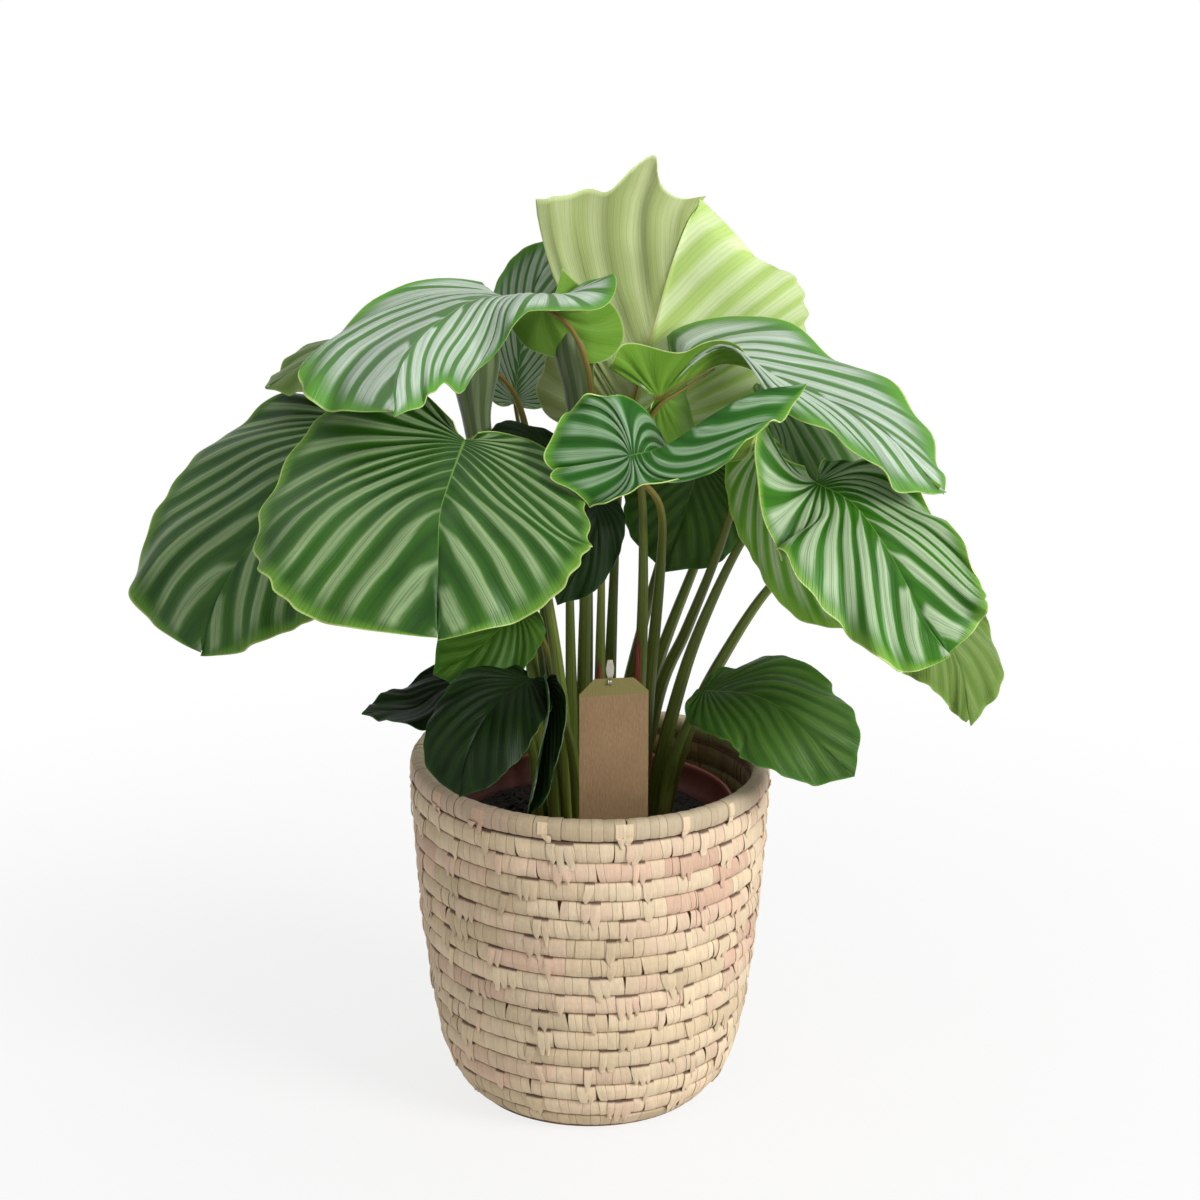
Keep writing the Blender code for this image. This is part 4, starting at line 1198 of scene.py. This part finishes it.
# How each kind of blade is coloured. silverWidth: share of a stripe that is silver, and soft: how
# far its sides fade. silverFrom: where a silver stripe reaches its full width, from the rib (0) to
# the edge (1). gloss: the wax on the upper skin.
lookParts = ("stripes", "deep", "mid", "silver", "silverWidth", "silverFrom", "silverShare",
             "soft", "edge", "edgeFrom", "margin", "rib", "under", "underStripe", "underRib",
             "gloss")
leafLooks = {
    "meadow": (14, "#1a400a", "#356317", "#91ab78", 0.4, 0.34, 0.92, 0.2, "#6c9a35", 0.9,
               "#b4c777", "#6b9440", "#6b8a3c", "#7b9a4b", "#8c6c36", 0.28),
    "bright": (13, "#27590f", "#417f1d", "#b2c8a0", 0.52, 0.26, 0.92, 0.16, "#7fae3e", 0.88,
               "#c6d98a", "#7aa43c", "#5f8a2a", "#739a3b", "#8c6c36", 0.28),
    "lime": (10, "#518a1e", "#6ba32a", "#b9d09e", 0.48, 0.26, 0.85, 0.22, "#8ab743", 0.8,
             "#c6d98a", "#8bb04a", "#6d952f", "#7ea541", "#8c6c36", 0.28),
    # silver stripes on a greyed deep green that is painted sheen of glancing light; its underside
    # is lifted to bright green, painted light
    "silvery": (15, "#587a4c", "#4a8230", "#c1d1bf", 0.64, 0.16, 0.94, 0.15, "#5f9c31", 0.84,
                "#b6cc7c", "#a3b39a", "#6a972c", "#7aa53c", "#7a6230", 0.28),
    "glossy": (12, "#16460c", "#2f6d1a", "#8fae88", 0.45, 0.24, 0.9, 0.18, "#6ba436", 0.9,
               "#c6dc86", "#5f9233", "#66862f", "#77963f", "#7a6230", 0.28),
    # a lighter copy of the green: painted light for a blade in shade that light shines through
    "misty": (11, "#557f42", "#609041", "#aec69c", 0.55, 0.2, 0.85, 0.25, "#6c8f48", 0.9,
              "#93ae68", "#87a074", "#6b8a3c", "#7b9a4b", "#8c6c36", 0.28),
    # a darker copy of the green: painted shade for blades lying under others
    "dusk": (12, "#2a4a10", "#3a6018", "#54772f", 0.42, 0.3, 0.6, 0.3, "#3b6a20", 0.9, "#66883a",
             "#6d8f38", "#4f6f27", "#5c7c34", "#8a6a35", 0.2),
    # a near-black copy of the green: painted shade for the lowest blades, deep under the rest
    "shade": (12, "#0d1b07", "#152a0c", "#263a18", 0.4, 0.3, 0.4, 0.3, "#183213", 0.9, "#35512a",
              "#294422", "#33501f", "#3d5c29", "#5d5028", 0.14),
    "olive": (12, "#54702b", "#688437", "#7f9653", 0.4, 0.25, 0.7, 0.25, "#76983f", 0.9, "#9db56c",
              "#a2b26b", "#6f8840", "#849a58", "#8f7a44", 0.28),
    # the lime under colours are painted light shining through the blade
    "pale": (13, "#6a9636", "#82ae42", "#bccf9e", 0.5, 0.25, 0.9, 0.2, "#9cc350", 0.88, "#cfe09c",
             "#a5a656", "#bcd87c", "#dfeeb8", "#98803f", 0.28),
}
# the underside of a pale blade is bright lime, painted light shining through it, and duller in its
# far half, which hangs in the shade: painted shade
paintedShadeUnder = {"pale": ("#9caa6a", "#b4bf88")}


def stripePattern(node, stripes):
    # masks that follow the blade: v (0 rib..1 edge), stripe (0 mid-silver..1 between), strand
    u, across, _ = node("SeparateXYZ", node("UVMap", uv_map="UVMap")).outputs
    across = node("Math.MULTIPLY_ADD", across, 2.0, -1.0)
    v = node("Math.ABSOLUTE", across)
    side = node("Math.GREATER_THAN", across, 0.0)
    wander = node("TexNoise", Vector=node("TexCoord").outputs["Object"], Scale=16.0)
    drift = node("MapRange", wander, 0.3, 0.7, -0.05, 0.05)
    count = node("Math.MULTIPLY_ADD", u, float(stripes), drift)
    shifted = node("Math.MULTIPLY_ADD", side, leafBuild["halfShift"], count)
    strands = node("Math.MULTIPLY", shifted, 7.0)
    waves = []
    for source in (shifted, strands):
        saw = node("Math.SUBTRACT", node("Math.FRACT", source), 0.5)
        waves.append(node("Math.MULTIPLY", node("Math.ABSOLUTE", saw), 2.0))
    # hair-fine fibres that run out along the side veins
    along = node("CombineXYZ", strands, node("Math.MULTIPLY", v, 1.6), side)
    fibre = node("TexNoise", Vector=along, Scale=1.0, Detail=3.0)
    return u, v, side, *waves, fibre, wander


def makeLeafUpper(name, look):
    # upper skin of a living leaf: a satin wax over silver stripes on green, with yellower edges
    mat, node = newMaterial(name + "LeafUpper", 0.42, 1.42, look["gloss"])
    u, v, _, stripe, strand, fibre, wander = stripePattern(node, look["stripes"])
    grow = node("MapRange.SMOOTHSTEP", v, 0.02, look["silverFrom"], 0.12, 1.0)
    fade = node("MapRange.SMOOTHSTEP", v, look["edgeFrom"] - 0.10, 0.985, 1.0, 0.1)
    uneven = node("MapRange", fibre, 0.25, 0.75, 0.84, 1.16)
    width = node("Math.MULTIPLY", node("Math.MULTIPLY", grow, uneven), look["silverWidth"])
    beyond = node("Math.SUBTRACT", stripe, width)
    silver = node("MapRange.SMOOTHSTEP", beyond, -look["soft"], look["soft"], look["silverShare"],
                  0.0)
    silver = node("Math.MULTIPLY", silver, fade)
    # the green is deepest towards the rib and midway between two silver stripes; the dip midway is
    # partly the leaf's darker band, partly painted shade in the valleys of the quilting
    outward = node("Math.MULTIPLY_ADD", v, 0.45, node("MapRange", wander, 0.3, 0.7, 0.1, 0.85))
    bandAndValleyShade = node("MapRange", stripe, 0.55, 0.95, 0.0, 0.5)
    outward = node("Math.SUBTRACT", outward, bandAndValleyShade, use_clamp=True)
    green = node("Mix", outward, look["deep"], look["mid"])
    sheen = node("MapRange", fibre, 0.3, 0.7, 0.80, 1.06)
    bright = node("Mix.MULTIPLY", 1.0, look["silver"], sheen)
    edge = node("MapRange.SMOOTHSTEP", v, look["edgeFrom"], 1.01, 0.0, 0.9)
    # side veins: a fine dark one splits each silver stripe, with fainter strands beside it
    vein = node("MapRange", stripe, 0.015, 0.07, 0.40, 0.0)
    broken = node("MapRange", fibre, 0.35, 0.6, 1.0, 0.35)
    strand = node("Math.MULTIPLY", node("MapRange", strand, 0.62, 0.98, 0.0, 0.42), broken)
    vein = node("Math.MULTIPLY", node("Math.MAXIMUM", vein, strand), grow)
    # the rib thins towards the tip
    ribPlace = node("Math.MULTIPLY", v, node("Math.MULTIPLY_ADD", u, 1.6, 1.0))
    rib = node("MapRange", ribPlace, 0.007, 0.016, 0.85, 0.0)
    margin = node("MapRange", v, 0.986, 0.997, 0.0, 0.85)
    colour = paintOver(node, green, (silver, bright), (edge, look["edge"]), (vein, look["deep"]),
                       (rib, look["rib"]), (margin, look["margin"]))
    height = node("Math.SUBTRACT", node("Math.MULTIPLY_ADD", silver, 0.5, fibre), vein)
    wax = node("MapRange", fibre, 0.3, 0.7, 0.34, 0.48)
    return finishSurface(mat, colour, height, 0.0003, wax)


def makeLeafUnder(name, look):
    # lower skin of a living leaf: matt, one olive tone with the stripes showing through faintly
    mat, node = newMaterial(name + "LeafUnder", 0.55, 1.42, 0.25)
    u, v, side, stripe, strand, fibre, wander = stripePattern(node, look["stripes"])
    mottle = node("MapRange", fibre, 0.3, 0.7, 0.55, 1.0)
    band = node("MapRange.SMOOTHSTEP", stripe, 0.25, 0.7, 1.0, 0.0)
    band = node("Math.MULTIPLY", band, mottle)
    colour = node("Mix", band, look["under"], look["underStripe"])
    # a pale blade's far half gets the duller colours, painted shade
    if name in paintedShadeUnder:
        colour = node("Mix", side, colour, node("Mix", band, *paintedShadeUnder[name]))
    tone = node("MapRange", wander, 0.3, 0.7, 0.86, 1.08)
    colour = node("Mix.MULTIPLY", 1.0, colour, tone)
    vein = node("MapRange", strand, 0.75, 1.0, 0.0, 0.16)
    stalkward = node("MapRange", u, 0.35, 0.9, 0.95, 0.25)
    rib = node("Math.MULTIPLY", node("MapRange", v, 0.020, 0.040, 1.0, 0.0), stalkward)
    margin = node("MapRange", v, 0.975, 0.995, 0.0, 0.8)
    colour = paintOver(node, colour, (vein, look["deep"]), (rib, look["underRib"]),
                       (margin, look["margin"]))
    return finishSurface(mat, colour, node("Math.MULTIPLY_ADD", vein, 2.0, fibre))


def makeLeafRim(name, look):
    # cut edge of the blade: a thin, paler line, dry in places
    mat, node = newMaterial(name + "LeafRim", 0.45, 1.42)
    dry = node("TexNoise", Vector=node("TexCoord").outputs["Object"], Scale=130.0)
    patch = node("MapRange", dry, 0.55, 0.72, 0.0, 0.6)
    return finishSurface(mat, node("Mix", patch, look["margin"], "#a88f52"))


def makeLeaves():
    mats = {}
    for name, row in leafLooks.items():
        look = dict(zip(lookParts, row))
        mats[name] = [make(name, look) for make in (makeLeafUpper, makeLeafUnder, makeLeafRim)]
    for name, leaf in leaves.items():
        look = leaf["look"]
        big = max(leaf["width"]) > leafBuild["bigWidth"]
        makeBlade("blade_" + name, "leaf_" + name, leaf, mats[look],
                  leafBuild["bigGrid" if big else "smallGrid"], leafBuild["thickness"],
                  "leaf_pale" if look == "pale" else "leaf_green", leafLooks[look][0])
    print("leaf blades made:", len(leaves))


stalkBuild = {
    "sides": 16,
    "rings": 60,
    # from the soil to the blade, then on under it as it thins out into the rib
    "radii": (0.0060, 0.0052, 0.0045, 0.0036, 0.0028, 0.0019, 0.0006),
    "flute": 0.06,                   # depth of the lengthwise flutes, as a share of the radius
    "footDepth": 0.004,              # how far a foot goes into the soil
}


def tube(points, radii, sides, rings, flute=0.0, overlap=0.0, twist=0.0, values=None, joinTo=None):
    # a bent stalk with closed ends; overlap lifts one edge of the wrap over the other
    lengths, path = smoothPath(points)
    reach = 0.004

    def place(u, v):
        distance = u * lengths[-1]
        ahead = pointAt(lengths, path, distance + reach) - pointAt(lengths, path, distance - reach)
        ahead.normalize()
        sideways = Vector((0, 1, 0)).cross(ahead)
        if sideways.length < 0.2:
            sideways = Vector((1, 0, 0)).cross(ahead)
        sideways.normalize()
        angle = fullTurn * v + twist * u
        radius = stepAlong(radii, u) * (1 + flute * math.cos(5 * fullTurn * v))
        radius *= 1 + overlap * smoothStep(0, 0.93, v) * smoothStep(1, 0.93, v)
        spoke = sideways * math.cos(angle) + ahead.cross(sideways) * math.sin(angle)
        return pointAt(lengths, path, distance) + spoke * radius

    bm = sheet(rings, sides, place, values=values)
    openEdges = [edge for edge in bm.edges if edge.is_boundary]
    bmesh.ops.holes_fill(bm, edges=openEdges, sides=0)
    bmesh.ops.recalc_face_normals(bm, faces=bm.faces)
    if joinTo is None:
        return bm
    part = bpy.data.meshes.new("part")
    bm.to_mesh(part)
    bm.free()
    joinTo.from_mesh(part)
    bpy.data.meshes.remove(part)


def makeStalkSkin():
    # fresh petiole: smooth, slightly waxy, streaked lengthwise, browner where it carries the blade
    mat, node = newMaterial("freshPetiole", 0.40, 1.42, 0.3)
    uv = node("UVMap", uv_map="UVMap")
    up = node("SeparateXYZ", uv).outputs[0]
    topTint, footTint = (node("Attribute", attribute_name=key).outputs["Fac"]
                         for key in ("topTint", "footTint"))
    streak = drawnNoise(node, uv, (2.5, 22.0, 1.0), 3.0)
    upward = node("MapRange.SMOOTHSTEP", up, 0.55, 0.95)
    downward = node("MapRange.SMOOTHSTEP", up, 0.0, 0.30, 1.0, 0.0)
    colour = paintOver(node, node("Mix", streak, "#384714", "#7f8d3c"),
                       (node("Math.MULTIPLY", upward, topTint),
                        node("Mix", streak, "#6f5124", "#9c7a3d")),
                       (node("Math.MULTIPLY", downward, footTint), "#6d4a2a"))
    return finishSurface(mat, colour, streak, 0.0002)


def makeStalks():
    skin = makeStalkSkin()
    for name, leaf in leaves.items():
        lengths, path = smoothPath(leaf["rib"])
        base, up, _ = ribFrame(leaf, lengths, path, 0)
        foot = Vector(leaf["stem"][0])
        foot.z = soilBuild["top"] - stalkBuild["footDepth"]
        under = [pointAt(lengths, path, lengths[-1] * share) - up * below
                 for share, below in ((0.06, 0.0046), (0.2, 0.0034))]
        points = [foot, *leaf["stem"][1:], base - up * 0.0050, *under]
        bm = tube(points, stalkBuild["radii"], stalkBuild["sides"], stalkBuild["rings"],
                  stalkBuild["flute"], values=dict(zip(("topTint", "footTint"), leaf["tint"])))
        addPiece("stalk_" + name, bm, [skin], "stem_" + name, "stalk_green")
    print("stalks made:", len(leaves))


def makeRolledSkin():
    # young leaf still rolled: grey-green waxy back with the folded stripes running up it
    mat, node = newMaterial("rolledLeafSkin", 0.45, 1.42)
    uv = node("UVMap", uv_map="UVMap")
    up, turn, _ = node("SeparateXYZ", uv).outputs
    climb = node("Math.MULTIPLY_ADD", up, 5.0, node("Math.MULTIPLY", turn, 9.0))
    wave = node("Math.SINE", node("Math.MULTIPLY", climb, fullTurn))
    blade = node("Mix", node("MapRange.SMOOTHSTEP", wave, -0.6, 0.6), "#4c5d35", "#6c7c54")
    streak = drawnNoise(node, uv, (3.0, 30.0, 1.0), 3.0)
    blade = node("Mix.MULTIPLY", 1.0, blade, node("MapRange", streak, 0.3, 0.7, 0.78, 1.12))
    stalk = node("Mix", streak, "#4a5c2b", "#71843f")
    rolled = node("MapRange.SMOOTHSTEP", up, 0.55, 0.72)
    return finishSurface(mat, node("Mix", rolled, stalk, blade), streak)


def makeRolledLeaves():
    skin = makeRolledSkin()
    rings = 60
    for name, stations in rolledLeaves.items():
        stations = inMetres(stations)
        points = [Vector(station[:3]) for station in stations]
        points[0].z = soilBuild["top"] - stalkBuild["footDepth"]
        marks = distances(points)
        radii = []
        for k in range(rings + 1):
            at = marks[-1] * k / rings
            i = min(max(j for j, mark in enumerate(marks) if mark <= at + 1e-9), len(marks) - 2)
            share = smoothStep(marks[i], marks[i + 1], at)
            radii.append(stations[i][3] + (stations[i + 1][3] - stations[i][3]) * share)
        bm = tube(points, radii, 36, 90, overlap=0.16, twist=2.4)
        addPiece(name.replace("rolled", "furled"), bm, [skin], name, "rolled_leaf_green", 60)
    print("rolled leaves made")


def makeHuskSkin():
    # dead sheath: thin papery tissue, maroon with paler ribs, matt
    mat, node = newMaterial("dryHuskPaper", 0.8)
    ribs = drawnNoise(node, node("UVMap", uv_map="UVMap"), (1.5, 14.0, 1.0), 2.0)
    colour = node("ValToRGB", ribs)
    for stop, place, tint in zip(colour.color_ramp.elements, (0.3, 0.72), ("#4a1712", "#a4543a")):
        stop.position = place
        stop.color = toLinear(tint)
    return finishSurface(mat, colour, ribs)


def makeHusks():
    skin = makeHuskSkin()
    for name, husk in husks.items():
        makeBlade(name.replace("husk", "sheath"), name, readLeaf({**huskShape, **husk}),
                  [skin] * 3, (20, 5), 0.0005, "dry_husk")
    print("dry husks made")


# millimetres: x, y, z and radius, from the soil up
rolledLeaves = {
    "rolled_leaf_left": ((-30, 20, 0, 4.5), (-38, 22, 320, 4.5), (-64, 26, 430, 6),
                         (-80, 30, 490, 9), (-82, 30, 545, 17), (-80, 31, 565, 14),
                         (-78, 33, 580, 3)),
    "rolled_leaf_centre": ((-4, 30, 0, 4.5), (-3, 34, 350, 4.5), (-6, 32, 470, 6),
                           (-8, 30, 515, 10), (-13, 30, 550, 13), (-15, 30, 568, 9),
                           (-18, 30, 583, 3)),
}
# a dry sheath is shaped as a small leaf
huskShape = {"belly": (0.4, 0.4), "lobe": (0, 0), "fold": (-12, -12),
             "curl": ((-40, -90), (-40, -90)), "wave": (0.6, 2, 0)}
husks = {
    "dry_husk_tall": {"width": (4.5, 4.5), "face": ((-0.55, -0.83, 0.1),),
                      "rib": ((31, -9.8, 300), (32.3, -10.5, 324), (33.1, -11.6, 346))},
    "dry_husk_short": {"width": (3.3, 3.3), "face": ((0, -1, 0),),
                       "rib": ((6.8, -17.2, 306), (6.8, -17.3, 318), (6.6, -18, 329))},
}
leaves = {name: readLeaf(leaf) for name, leaf in leaves.items()}

makeStudio()
makeBasket()
makePot()
makeSoil()
makeTag()
makePeg()
makeLeaves()
makeStalks()
makeRolledLeaves()
makeHusks()
